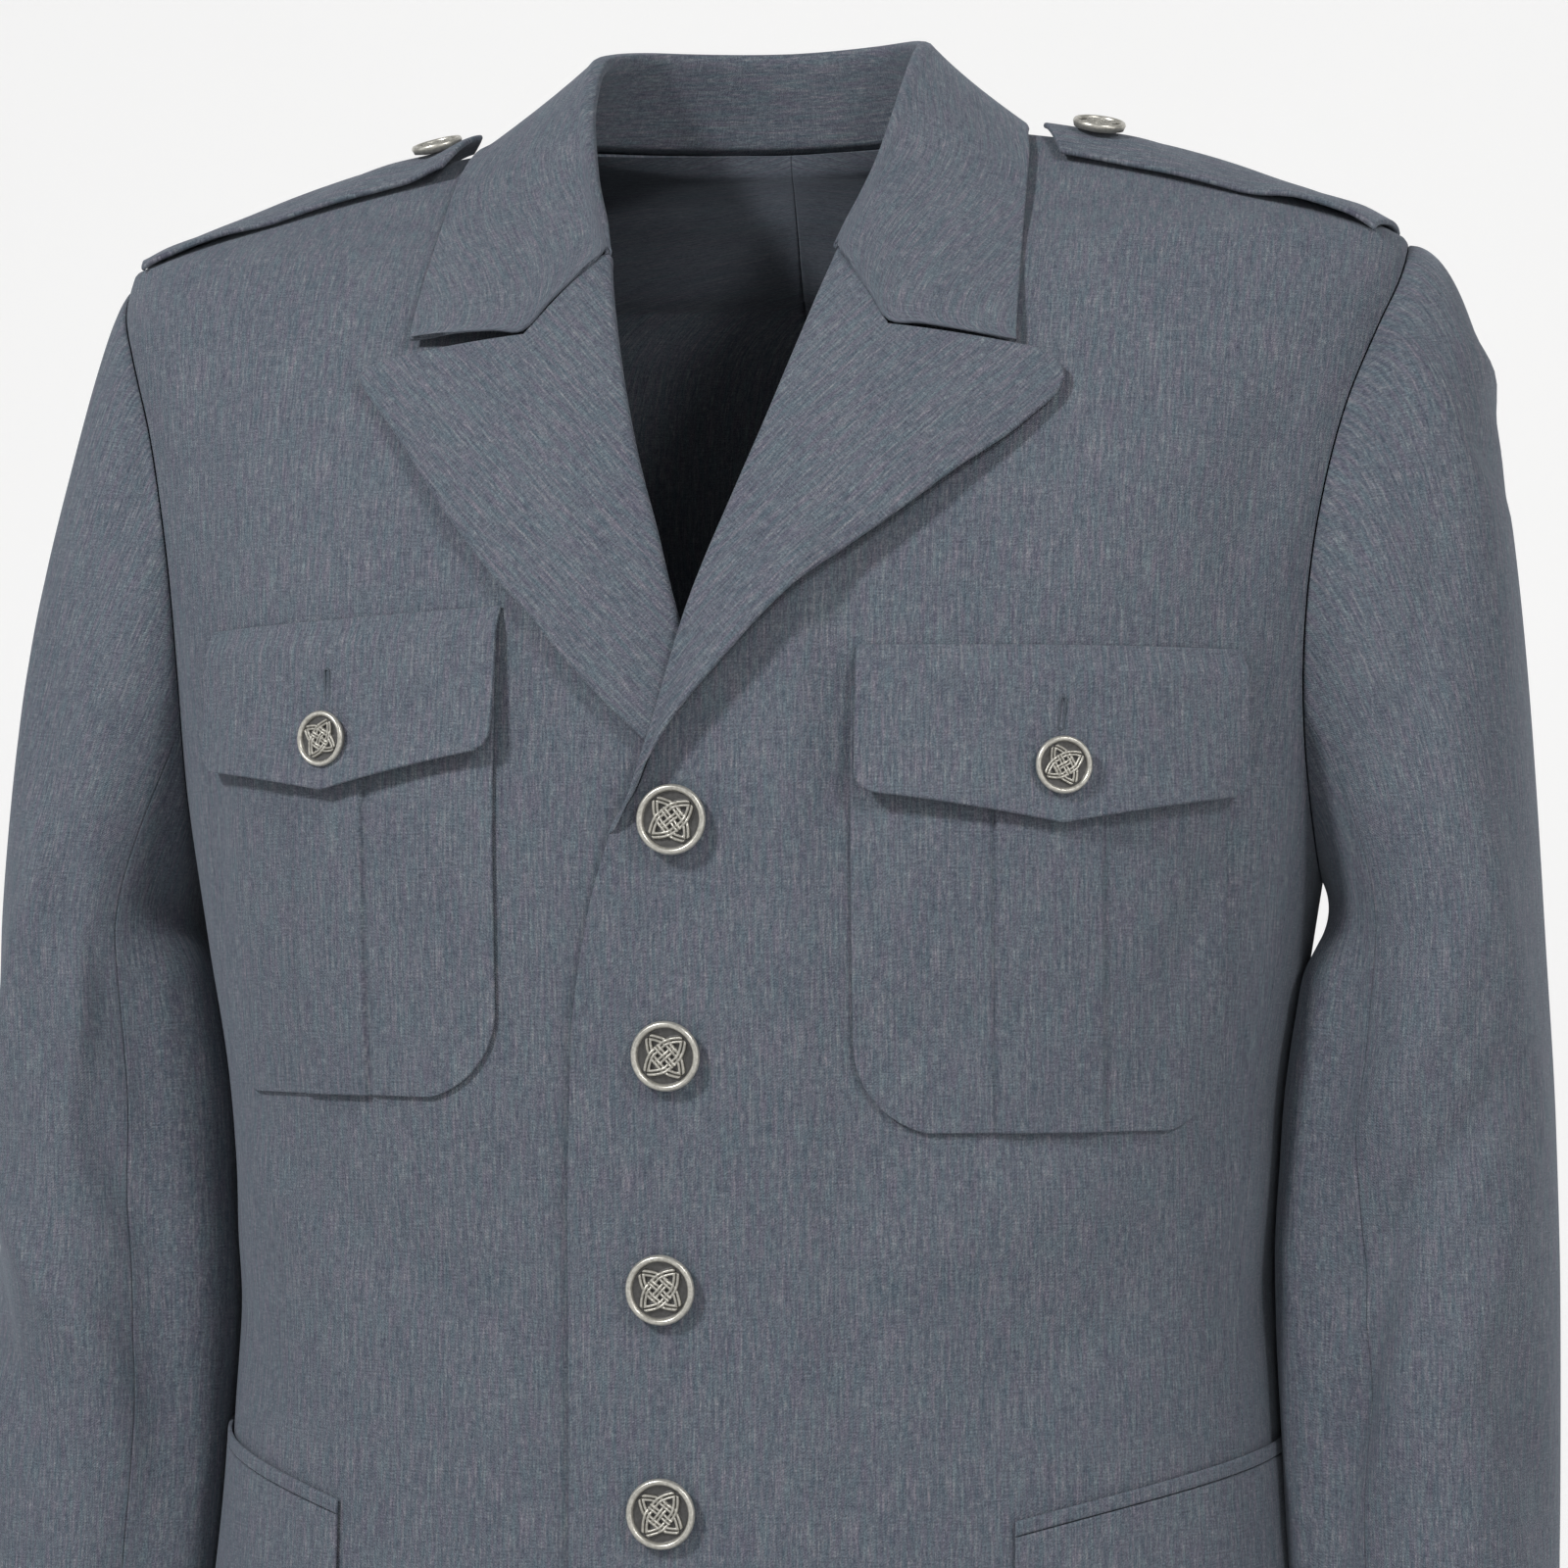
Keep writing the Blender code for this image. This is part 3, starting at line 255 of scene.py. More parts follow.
def ring(column, height):
    """One size of the body's level rings at a height."""
    return smooth_curve(RINGS[:, 0], RINGS[:, RING_COLUMNS.split().index(f"{column}_mm")], height)


def squareness(height):
    return smooth_curve(RINGS[:, 0], RINGS[:, -1], height)


def depth_at(y, height):
    return np.where(y < 0, ring("front_depth", height), ring("back_depth", height))


def ring_share(share, height):
    """How far a ring reaches one way, as a share, from its share of the reach the other way."""
    power = squareness(height)
    return (1 - np.clip(np.abs(share), 0, 1) ** power) ** (1 / power)


def body_surface(angle, height):
    """The body at an angle from the centre front, towards the wearer's left."""
    angle, height = np.broadcast_arrays(np.asarray(angle, float), np.asarray(height, float))
    power = 2 / squareness(height)
    sine, cosine = np.sin(angle), np.cos(angle)
    x = ring("half_width", height) * np.sign(sine) * np.abs(sine) ** power
    y = -depth_at(-cosine, height) * np.sign(cosine) * np.abs(cosine) ** power
    return np.stack([x, y, height], axis=-1)


def normals_of(surface, u, v, du=2e-4, dv=1e-4):
    across = surface(u + du, v) - surface(u - du, v)
    up = surface(u, v + dv) - surface(u, v - dv)
    normal = np.cross(across, up)
    return normal / np.linalg.norm(normal, axis=-1, keepdims=True)


def body_point(angle, height, out=0.0):
    """A point of the body's surface, moved out along its normal."""
    out = np.asarray(out, float)[..., None]
    return body_surface(angle, height) + out * normals_of(body_surface, angle, height)


def angle_at_width(x, height):
    share = np.clip(np.abs(x) / ring("half_width", height), 0, 1)
    return np.sign(x) * np.arcsin(share ** (squareness(height) / 2))


def angle_at_depth(y, height):
    share = np.clip(np.abs(y) / depth_at(y, height), 0, 1) ** (squareness(height) / 2)
    return np.pi / 2 + np.sign(y) * np.arcsin(share)


def lengths_along(points, axis):
    """Lengths along a grid's lines, each from its first point."""
    steps = np.linalg.norm(np.diff(points, axis=axis), axis=-1)
    return np.concatenate([0 * np.take(steps, [0], axis), np.cumsum(steps, axis=axis)], axis=axis)


ANGLE_TABLE = np.linspace(-0.6, np.pi, 841)
GIRTH_HEIGHTS = np.linspace(HEM_HEIGHT, BACK_NECK_HEIGHT, 401)


def make_girth_table():
    """Lengths round each ring from the centre front, for a fine table of heights."""
    lengths = lengths_along(body_surface(ANGLE_TABLE[None, :], GIRTH_HEIGHTS[:, None]), 1)
    zero = np.array([np.interp(0.0, ANGLE_TABLE, row) for row in lengths])
    return lengths - zero[:, None]


GIRTH_TABLE = make_girth_table()


def girth_row(height):
    at = np.interp(height, GIRTH_HEIGHTS, np.arange(len(GIRTH_HEIGHTS)))
    low = int(min(at, len(GIRTH_HEIGHTS) - 2))
    share = at - low
    return GIRTH_TABLE[low] * (1 - share) + GIRTH_TABLE[low + 1] * share


def angle_at_girth(girth, height):
    girth, height = np.broadcast_arrays(np.asarray(girth, float), np.asarray(height, float))
    found = np.empty(girth.shape)
    for index in np.ndindex(girth.shape):
        found[index] = np.interp(girth[index], girth_row(height[index]), ANGLE_TABLE)
    return found


def girth_at_angle(angle, height):
    """Lengths round the body for a grid whose rows are level."""
    return np.array([np.interp(a, ANGLE_TABLE, girth_row(h[0])) for a, h in zip(angle, height)])


def front_edge(height):
    return smooth_curve(FRONT_EDGE[:, 0], FRONT_EDGE[:, 1], height)


def lap_ease(x, height):
    rise = smooth_curve(LAP_EASE[:, 0], LAP_EASE[:, 1], height)
    return rise * (1 - smooth_step(LAP_FULL_WIDTH, LAP_END_WIDTH, x))


def armhole(turn):
    """Angle and height of the left armhole, by its turn: 0 at the top, a quarter at the front."""
    height = ARMHOLE_MIDDLE + ARMHOLE_HALF * np.cos(turn)
    reach = np.where(np.sin(turn) > 0, ARMHOLE_FRONT, ARMHOLE_BACK)
    y = -reach * np.sin(turn) * (1 - ARMHOLE_SCOOP * np.cos(turn))
    return angle_at_depth(y, height), height


def armhole_angle(height, back):
    """The armhole's front or back edge at a height."""
    turn = np.arccos(np.clip((height - ARMHOLE_MIDDLE) / ARMHOLE_HALF, -1, 1))
    return armhole(-turn if back else turn)[0]


SEAM_HEIGHT = float(armhole(SIDE_FRONT_TURN)[1])


def panel_side(height, back):
    """The angle of a front's or back's outer edge: side seam, armhole, then shoulder seam."""
    hem = SIDE_BACK_HEM if back else SIDE_FRONT_HEM
    top = armhole(np.array(SIDE_BACK_TURN if back else SIDE_FRONT_TURN))[0]
    t = np.clip((height - HEM_HEIGHT) / (SEAM_HEIGHT - HEM_HEIGHT), 0, 1)
    seam = hem + (top - hem) * t
    ridge = np.full(np.shape(height), np.pi / 2)
    edge = np.where(height < SEAM_HEIGHT, seam, armhole_angle(height, back))
    return np.where(height >= SHOULDER_TIP_HEIGHT, ridge, edge)


# Creases: soft ridges, or troughs where the rise is negative

CREASE_COLUMNS = "across_mm height_mm tilt length_mm width_mm rise_mm"
BODY_CREASES = {
    "left": table(
        CREASE_COLUMNS,
        (60, -330, 84, 50, 16, -1.2), (90, -395, 74, 70, 20, 1.6), (150, -430, 68, 80, 18, -1.8),
        (200, -405, 60, 60, 16, 1.6), (40, -560, 8, 120, 26, 1.8), (110, -630, -6, 110, 30, -1.6),
        (180, -270, 20, 60, 13, -1.6), (175, -150, 12, 70, 18, -1.4), (120, -145, 30, 50, 20, 1),
        (265, -420, 62, 50, 18, -1.4), (300, -640, 4, 100, 30, 2),
    ),
    "right": table(
        CREASE_COLUMNS,
        (55, -355, 80, 55, 18, 1.2), (100, -410, 70, 70, 18, -1.8), (160, -395, 64, 70, 16, 1.6),
        (210, -440, 66, 60, 18, -1.6), (60, -600, -8, 120, 28, 1.8), (130, -655, 6, 90, 26, -1.4),
        (185, -255, -16, 60, 14, -1.8), (170, -130, -14, 60, 18, -1.2),
        (280, -400, 60, 50, 18, 1.4), (310, -620, -5, 100, 30, 1.8),
    ),
}
BACK_CREASES = {
    "left": table(
        CREASE_COLUMNS,
        (30, -300, 6, 120, 28, 1.6), (80, -405, 72, 60, 20, -2), (120, -440, 66, 60, 18, 1.8),
        (150, -215, -24, 80, 20, -2.2), (60, -620, -4, 120, 30, 2), (140, -660, 5, 90, 28, -1.6),
        (50, -60, 78, 50, 14, -1.2),
    ),
    "right": table(
        CREASE_COLUMNS,
        (40, -330, -8, 120, 26, -1.4), (70, -420, 70, 70, 18, 2), (125, -400, 64, 60, 20, -1.8),
        (155, -230, 22, 80, 20, -2), (80, -600, 5, 110, 30, 1.8), (150, -640, -6, 90, 26, -1.6),
        (45, -55, 80, 40, 12, -1),
    ),
}
# On a sleeve, across is a turn in degrees: 0 outermost, 90 forward
SLEEVE_CREASES = {
    "left": table(
        CREASE_COLUMNS.replace("across_mm", "turn"),
        (48, -95, 14, 34, 5.5, 2.6), (62, -150, 10, 55, 11, -2.2), (20, -128, 70, 20, 7, -2.8),
        (5, -95, 75, 24, 9, 2.2), (84, -215, -24, 50, 11, -2.6), (58, -285, 20, 80, 13, 2),
        (104, -345, -34, 50, 11, 3), (92, -385, -42, 55, 10, -3.4), (118, -450, -18, 60, 9, -4),
        (70, -430, -30, 50, 13, 2.6), (40, -480, 26, 60, 15, -2.2), (85, -540, -12, 60, 12, 2.2),
        (110, -600, 16, 50, 11, -2), (200, -380, 40, 50, 12, -3.4), (225, -425, 36, 55, 12, 3.2),
        (260, -330, 24, 70, 15, -2.6), (285, -200, 14, 70, 16, 2.2),
        (300, -470, -28, 60, 15, 2.2), (330, -350, 8, 90, 16, -2),
    ),
    "right": table(
        CREASE_COLUMNS.replace("across_mm", "turn"),
        (70, -140, 8, 60, 13, -1.8), (35, -190, -10, 70, 15, 1.8), (85, -262, -26, 55, 11, -2.4),
        (60, -325, 16, 55, 12, 2.4), (98, -330, 8, 34, 8, 3.4), (108, -375, -30, 55, 11, -3.4),
        (84, -425, -42, 60, 11, 3.8), (62, -455, -36, 60, 12, -3), (112, -470, -22, 50, 10, 2.4),
        (40, -500, 22, 60, 15, 1.8), (90, -560, -14, 60, 12, -2.4), (205, -370, 40, 50, 12, -3.4),
        (228, -415, 34, 55, 12, 3), (255, -300, 24, 70, 15, -2.4), (280, -180, 12, 70, 16, 2),
        (305, -450, -26, 60, 15, 2.2),
    ),
}
SLEEVE_TURN_LENGTH = 0.058
INNER_TURN = math.radians(173)
INNER_SPREAD = math.radians(35)
INNER_LOW = -0.315
INNER_TOP = -0.280
BODY_CLEAR = 0.0007
CREASE_DEPTH = 1.5


def creases(rows, across, height):
    """The rise at each place from a table of creases."""
    total = np.zeros(np.broadcast(across, height).shape)
    for at, level, tilt, length, width, rise in rows:
        c, s = math.cos(math.radians(tilt)), math.sin(math.radians(tilt))
        along = (across - at) * s + (height - level) * c
        beside = (across - at) * c - (height - level) * s
        total = total + CREASE_DEPTH * rise * np.exp(-((beside / width) ** 2) - (along / length) ** 2)
    return total


def body_relief(word, angle, height):
    """The front's creases, which run into the back's across the side panel.

    They fade at the lap, the centre back, the shoulder and the armhole, where pieces meet.
    """
    angle = np.asarray(angle)
    width = 0.19
    front = creases(BODY_CREASES[word], width * angle, height) * smooth_step(0.02, 0.07, width * angle)
    from_back = width * (np.pi - angle)
    back = creases(BACK_CREASES[word], from_back, height) * smooth_step(0.0, 0.02, from_back)
    share = smooth_step(SIDE_FRONT_HEM, SIDE_BACK_HEM + 0.2, angle)
    level = (height - ARMHOLE_MIDDLE) / ARMHOLE_HALF
    reach = (ARMHOLE_FRONT + ARMHOLE_BACK) / 2 * (1 - ARMHOLE_SCOOP * np.clip(level, -1, 1))
    off_armhole = np.hypot(level, body_surface(angle, height)[..., 1] / reach)
    fade = smooth_step(1.0, 1.25, off_armhole) * (1 - smooth_step(-0.10, -0.05, height))
    return (front + (back - front) * share) * fade


def sleeve_relief(word, turn, height):
    """The creases of a sleeve, which meet where its turn starts again."""
    rows = SLEEVE_CREASES[word].copy()
    rows[:, 0] = np.radians(rows[:, 0]) * SLEEVE_TURN_LENGTH
    laps = (turn - 2 * np.pi, turn, turn + 2 * np.pi)
    return sum(creases(rows, lap * SLEEVE_TURN_LENGTH, height) for lap in laps)


# Making shells


def mirror(points, side):
    return points * np.array((side, 1.0, 1.0))


def moved_out(base, normal, lift, side):
    """A function that gives the points at a distance out from a piece's inner face."""

    def point_at(out):
        return mirror(base + np.asarray(lift + out)[..., None] * normal, side)

    return point_at


def stops(length, step, fine=()):
    """Shares along a length, close together at both ends, where a turned edge is rounded."""
    near = np.array((0.0, 0.00012, 0.0003, 0.0006, 0.0010, 0.0018, 0.0034))
    near = near[near < length * 0.3]
    inner = np.linspace(near[-1] + step, length - near[-1] - step, max(2, round(length / step)))
    return np.unique(np.concatenate([near, inner, length - near, fine])) / length


def border_distance(points):
    """How far each point of a grid is from the grid's border, along its rows and columns."""
    sideways, upright = lengths_along(points, 1), lengths_along(points, 0)
    sideways = np.minimum(sideways, sideways[:, -1:] - sideways)
    upright = np.minimum(upright, upright[-1:] - upright)
    return np.minimum(sideways, upright)


def new_mesh(name, points, faces):
    mesh = bpy.data.meshes.new(name)
    mesh.from_pydata(points, [], faces)
    mesh.shade_smooth()
    return mesh


def add_object(name, data):
    made = bpy.data.objects.new(name, data)
    bpy.context.scene.collection.objects.link(made)
    return made


def shell(name, point_at, wall, cloth, material, nodes):
    """A closed thin shell: point_at(out) gives a grid of points, out from its inner face.

    Its edges are turned, so that they are as round as the cloth is thick. cloth is the grid's place
    on the flat cloth in metres, across and along the warp.
    """
    half = wall / 2
    near = np.clip(border_distance(point_at(half)) / half, 0, 1)
    rounding = np.sqrt(1 - (1 - near) ** 2)
    outer = point_at(half + half * rounding)
    inner = point_at(half - half * rounding)
    rows, columns = outer.shape[:2]
    index = np.arange(rows * columns).reshape(rows, columns)
    under = index.copy()
    under[1:-1, 1:-1] = np.arange((rows - 2) * (columns - 2)).reshape(rows - 2, -1) + index.size
    points = np.concatenate([outer.reshape(-1, 3), inner[1:-1, 1:-1].reshape(-1, 3)])
    top = np.stack([index[:-1, :-1], index[:-1, 1:], index[1:, 1:], index[1:, :-1]], axis=-1)
    low = np.stack([under[:-1, :-1], under[1:, :-1], under[1:, 1:], under[:-1, 1:]], axis=-1)
    centre = (rows // 2, columns // 2)
    a, b, c, _ = points[top[centre]]
    if np.dot(np.cross(b - a, c - a), outer[centre] - inner[centre]) < 0:
        top, low = top[..., ::-1], low[..., ::-1]
    faces = np.concatenate([top.reshape(-1, 4), low.reshape(-1, 4)])
    mesh = new_mesh(name, points.tolist(), faces.tolist())
    flat = np.concatenate([cloth.reshape(-1, 2), cloth[1:-1, 1:-1].reshape(-1, 2)])
    layer = mesh.uv_layers.new(name="cloth")
    layer.data.foreach_set("uv", flat[faces.reshape(-1)].astype(np.float32).reshape(-1))
    return place(name, mesh, material, nodes)


def place(name, mesh, material, nodes=()):
    """Puts a piece in the scene, riding on the jacket and standing for its CAD nodes."""
    mesh.materials.append(material)
    piece = add_object(name, mesh)
    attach(piece, "root")
    if nodes:
        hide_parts(*nodes)
    return piece


def make_cloth(node, point_at, wall, cloth, *under):
    """The sheet of cloth that stands for a CAD node. under, the pieces it lies over, is not used."""
    piece = shell(f"{node}_cloth", point_at, wall, cloth, CLOTH, [node])


def on_body(word, side, angles, heights, lift):
    """As moved_out, for a piece whose grid is given by angle and height on the body."""
    normal = normals_of(body_surface, angles, heights)
    lift = lift + body_relief(word, angles, heights)
    return moved_out(body_surface(angles, heights), normal, lift, side)


def grain(across, along, turn=0.0):
    """The flat cloth's coordinates, turned by an angle in degrees."""
    c, s = math.cos(math.radians(turn)), math.sin(math.radians(turn))
    return np.stack([across * c + along * s, along * c - across * s], axis=-1)


def rise_length(height):
    """Length up the front of the body from the hem, at 40 degrees from the centre front."""
    levels = np.linspace(HEM_HEIGHT, BACK_NECK_HEIGHT, 400)
    line = body_surface(np.full(400, math.radians(40)), levels)
    return np.interp(height, levels, lengths_along(line, 0))


# Body panels

STEP = 0.0042
SHOULDER_WIDTHS = np.linspace(0.2395, 0.0805, 42)


def body_levels(top):
    """Heights of a panel's rows: even up to the shoulder, then even across it."""
    crest = RINGS[RINGS[:, 0] > -0.050]
    shoulder = np.interp(-SHOULDER_WIDTHS, -crest[:, 1], crest[:, 0])
    up = HEM_HEIGHT + stops(-0.050 - HEM_HEIGHT, STEP) * (-0.050 - HEM_HEIGHT)
    edges = top - np.array((0.00005, 0.00015, 0.0003, 0.0006))
    tip = ARMHOLE_MIDDLE + ARMHOLE_HALF * np.cos(np.linspace(0, 0.6, 18))
    neck = np.linspace(NECK_POINT_HEIGHT, BACK_NECK_HEIGHT, 9)
    levels = np.concatenate([up, [SEAM_HEIGHT], tip, shoulder, neck, edges, [top]])
    levels = np.unique(np.round(levels[levels <= top], 6))
    return levels[np.concatenate([[True], np.diff(levels) > 4e-5])]


def panel_grid(levels, start, end, girth):
    """A panel's angles and heights between two edges, and its place on the flat cloth."""
    share = stops(girth, STEP)
    angles = start[:, None] * (1 - share) + end[:, None] * share
    heights = levels[:, None] + 0 * angles
    return angles, heights, grain(girth_at_angle(angles, heights), rise_length(heights))


def make_fronts():
    """Both fronts. Their inner edge is tucked in along the roll, where the lapel wraps round it."""
    levels = body_levels(NECK_POINT_HEIGHT)
    rolled = smooth_step(LAPEL_START, LAPEL_START + 0.015, levels)
    rolled = rolled * (1 - smooth_step(GORGE_HEIGHT - 0.003, GORGE_HEIGHT + 0.003, levels))
    inner = angle_at_width(front_edge(levels) + ROLL_TUCK * rolled, levels)
    angles, heights, cloth = panel_grid(levels, inner, panel_side(levels, False), 0.23)
    ease = lap_ease(body_surface(angles, heights)[..., 0], heights)
    for word, side in SIDES:
        point_at = on_body(word, side, angles, heights, ease * (side > 0) - CLOTH_WALL)
        make_cloth(f"front_{word}", point_at, CLOTH_WALL, cloth)


def make_sides():
    share = stops(0.18, STEP)
    hem = SIDE_FRONT_HEM + (SIDE_BACK_HEM - SIDE_FRONT_HEM) * share
    top_angle, top_height = armhole(SIDE_FRONT_TURN + (SIDE_BACK_TURN - SIDE_FRONT_TURN) * share)
    heights = HEM_HEIGHT + (top_height - HEM_HEIGHT)[None, :] * stops(0.44, STEP)[:, None]
    level = np.clip((heights - HEM_HEIGHT) / (SEAM_HEIGHT - HEM_HEIGHT), 0, 1)
    angles = hem[None, :] + (top_angle - hem)[None, :] * level
    for word, side in SIDES:
        point_at = on_body(word, side, angles, heights, -CLOTH_WALL)
        make_cloth(f"side_{word}", point_at, CLOTH_WALL, grain(0.2 * angles, heights))


def back_neck_angle(height):
    rise = (height - NECK_POINT_HEIGHT) / (BACK_NECK_HEIGHT - NECK_POINT_HEIGHT)
    return np.pi - np.pi / 2 * np.sqrt(np.clip(1 - rise, 0, 1))


def make_backs():
    levels = body_levels(BACK_NECK_HEIGHT - 0.0002)
    outer = np.where(levels > NECK_POINT_HEIGHT, back_neck_angle(levels), panel_side(levels, True))
    angles, heights, cloth = panel_grid(levels, outer, np.full(levels.shape, np.pi), 0.20)
    for word, side in SIDES:
        point_at = on_body(word, side, angles, heights, -CLOTH_WALL)
        make_cloth(f"back_{word}", point_at, CLOTH_WALL, cloth)


# Sleeves


def sleeve_ring(turn, height):
    values = [smooth_curve(-SLEEVE_RINGS[:, 0], SLEEVE_RINGS[:, k], -height) for k in range(1, 6)]
    centre_x, centre_y, half_width, half_depth, squareness = values
    power = 2 / squareness
    x = centre_x + half_width * np.sign(np.cos(turn)) * np.abs(np.cos(turn)) ** power
    y = centre_y - half_depth * np.sign(np.sin(turn)) * np.abs(np.sin(turn)) ** power
    return np.stack([x, y, np.broadcast_to(height, np.shape(x))], axis=-1)


def sleeve_surface(turn, place_down, swell):
    """A sleeve, as on the left. Its place runs 0 to 1 over the cap and on to the cuff at 2."""
    turn, place_down = np.broadcast_arrays(np.asarray(turn, float), np.asarray(place_down, float))
    start = body_surface(*armhole(turn))
    end = sleeve_ring(turn, np.full(turn.shape, SLEEVE_TOP))
    below = sleeve_ring(turn, np.full(turn.shape, SLEEVE_TOP - 0.01))
    reach = np.linalg.norm(end - start, axis=-1)[..., None]
    under = (1 - np.cos(turn)) / 2
    leave = np.stack([swell + 0 * turn, -0.30 * np.sin(turn), 0.02 - 0.82 * under], axis=-1) * reach
    arrive = (below - end) / 0.01 * 0.9 * reach
    t = np.clip(place_down, None, 1)[..., None]
    cap = start * (1 + 2 * t) * (1 - t) ** 2 + end * t * t * (3 - 2 * t)
    cap = cap + leave * t * (1 - t) ** 2 + arrive * t * t * (t - 1)
    lower_height = SLEEVE_TOP + (CUFF_HEIGHT - SLEEVE_TOP) * np.clip(place_down - 1, 0, None)
    return np.where(place_down[..., None] <= 1, cap, sleeve_ring(turn, lower_height))


def against_body(word, turn, base, normal, creased):
    """The sleeve's inner wall, moved in to rest against the body's side."""
    x, y, height = base[..., 0], base[..., 1], base[..., 2]
    body_x = ring("half_width", height) * ring_share(y / depth_at(y, height), height)
    body_x = body_x + body_relief(word, np.full(np.shape(height), np.pi / 2), height)
    gap = np.maximum(x - body_x - BODY_CLEAR, 0) * np.clip(-normal[..., 0], 0, 1)
    share = np.exp(-(((turn - INNER_TURN) / INNER_SPREAD) ** 4))
    share = share * (1 - smooth_step(INNER_LOW, INNER_TOP, height))
    return creased * (1 - share) + gap * share


def make_sleeves():
    places = np.concatenate([stops(0.25, STEP), 1 + stops(0.37, STEP)[1:]])
    places = places[(places <= 0.985) | (places >= 1.012) | (np.abs(places - 1) < 1e-9)]
    top_row = int(np.argmin(np.abs(places - 1)))
    spans = (
        ("sleeve_top", SLEEVE_BACK_SEAM - 2 * np.pi, SLEEVE_FRONT_SEAM, 0.30),
        ("sleeve_under", SLEEVE_FRONT_SEAM, SLEEVE_BACK_SEAM, 0.14),
    )
    for name, start, end, girth in spans:
        share = stops(girth, STEP)
        turn_grid, place_grid = np.meshgrid(start * (1 - share) + end * share, places)
        for word, side in SIDES:

            def surface(u, v, swell=CAP_SWELL[word]):
                return sleeve_surface(u, v, swell)

            base = surface(turn_grid, place_grid)
            normal = normals_of(surface, turn_grid, place_grid, 1e-3, 1e-3)
            creased = sleeve_relief(word, turn_grid, base[..., 2]) * smooth_step(0.0, 0.10, place_grid)
            lift = against_body(word, turn_grid, base, normal, creased) - CLOTH_WALL
            down = lengths_along(base, 0)
            cloth = grain(turn_grid * SLEEVE_TURN_LENGTH, down[top_row] - down + SLEEVE_TOP)
            make_cloth(f"{name}_{word}", moved_out(base, normal, lift, side), CLOTH_WALL, cloth)


# Lapels and collar


def fall_lift(t, width):
    return LAPEL_SEAT + LAPEL_LIFT * width * (np.sin(np.pi * t**0.8) * 0.75 + 0.30 * t)


def curve_at(rows, share, between=smooth_curve):
    """Across and height at a share of a lapel's edge."""
    return np.stack([between(rows[:, 0], rows[:, k], share) for k in (1, 2)], axis=-1)


def straight_line(knots, values, at):
    return np.interp(at, knots, values)


def lapel_grid(word, share, t):
    """Across and height of the lapel's points, from the break up to the gorge seam."""
    roll_height = LAPEL_START + (GORGE_HEIGHT - LAPEL_START) * share
    tuck = ROLL_TUCK * smooth_step(0.0, 0.072, share)
    tuck = tuck - RIGHT_ROLL_SHIFT * smooth_step(0.36, 0.53, share) * (word == "right")
    roll = np.stack([front_edge(roll_height) + tuck, roll_height], axis=-1)
    straight = roll + (curve_at(LAPEL_EDGES[word], share) - roll) * t[..., None]
    top_rows = np.vstack([[0.0, *roll[-1, 0]], LAPEL_TOPS[word]])
    bend = curve_at(top_rows, t, straight_line) - straight[-1:, :]
    return straight + bend * (share**7)[..., None]


def make_lapels():
    """Each lapel wraps round the front's edge at its roll, then lies on the front."""
    share = stops(0.26, 0.0035)[:, None]
    t = stops(0.085, 0.0030, fine=(NOTCH_SHARE * 0.085, 0.84 * 0.085, 0.96 * 0.085))
    bends = np.linspace(np.pi, 0, 12)[:-1]
    slip = np.concatenate([(0.0050, 0.0049, 0.0046, 0.0040, 0.0025), 0 * bends])
    turn = np.concatenate([np.full(len(slip) - len(bends), np.pi), bends, 0 * t])[None, :]
    across = np.concatenate([0 * slip, t])[None, :]
    slip_all = np.concatenate([slip, 0 * t])[None, :]
    full = smooth_step(0.0, 0.12, share)
    thin = 0.15 + 0.85 * full
    for word, side in SIDES:
        grid = lapel_grid(word, share, t[None, :])
        width = np.linalg.norm(grid[:, -1:] - grid[:, :1], axis=-1)
        toward = (grid[:, -1:] - grid[:, :1]) / width[..., None]
        grid = np.concatenate([grid[:, :1] + toward * slip[None, :, None], grid], axis=1)
        x, z = grid[..., 0], grid[..., 1]
        angles = angle_at_width(x, z)
        belly = LAPEL_BELLY[word] * np.sin(np.pi * share**0.6) * np.sin(np.pi / 2 * across) ** 1.5
        lift = fall_lift(across, width * full) + belly - LAPEL_SEAT * (1 - thin)
        lift = lift + lap_ease(x, z) * (side > 0) + body_relief(word, angles, z)
        normal = normals_of(body_surface, angles, z)
        inward = np.stack([toward[..., 0], 0 * toward[..., 0], toward[..., 1]], axis=-1)
        inward = inward - normal * np.sum(inward * normal, axis=-1, keepdims=True)
        inward = inward / np.linalg.norm(inward, axis=-1, keepdims=True)
        facing = normal * np.cos(turn)[..., None] - inward * np.sin(turn)[..., None]
        centre = body_surface(angles, z) + normal * (lift - ROLL_RADIUS * thin)[..., None]

        def point_at(out, centre=centre, facing=facing, side=side):
            return mirror(centre + facing * (thin * (ROLL_RADIUS + out))[..., None], side)

        flat = grid - toward * (2 * slip_all + turn * (ROLL_RADIUS + LAPEL_WALL / 2))[..., None]
        cloth = grain(flat[..., 0], flat[..., 1], LAPEL_GRAIN)
        make_cloth(f"lapel_{word}", point_at, LAPEL_WALL, cloth, f"front_{word}")


def neck_seam(share):
    """The neckline's angle and height, from the centre back to the gorge."""
    if share < NECK_POINT_SHARE:
        turn = share / NECK_POINT_SHARE
        rise = BACK_NECK_HEIGHT - NECK_POINT_HEIGHT
        return np.pi - np.pi / 2 * turn, NECK_POINT_HEIGHT + rise * (1 - turn**2)
    down = (share - NECK_POINT_SHARE) / (1 - NECK_POINT_SHARE)
    height = NECK_POINT_HEIGHT + (GORGE_HEIGHT - NECK_POINT_HEIGHT) * down**1.2
    return angle_at_width(front_edge(height), height), height


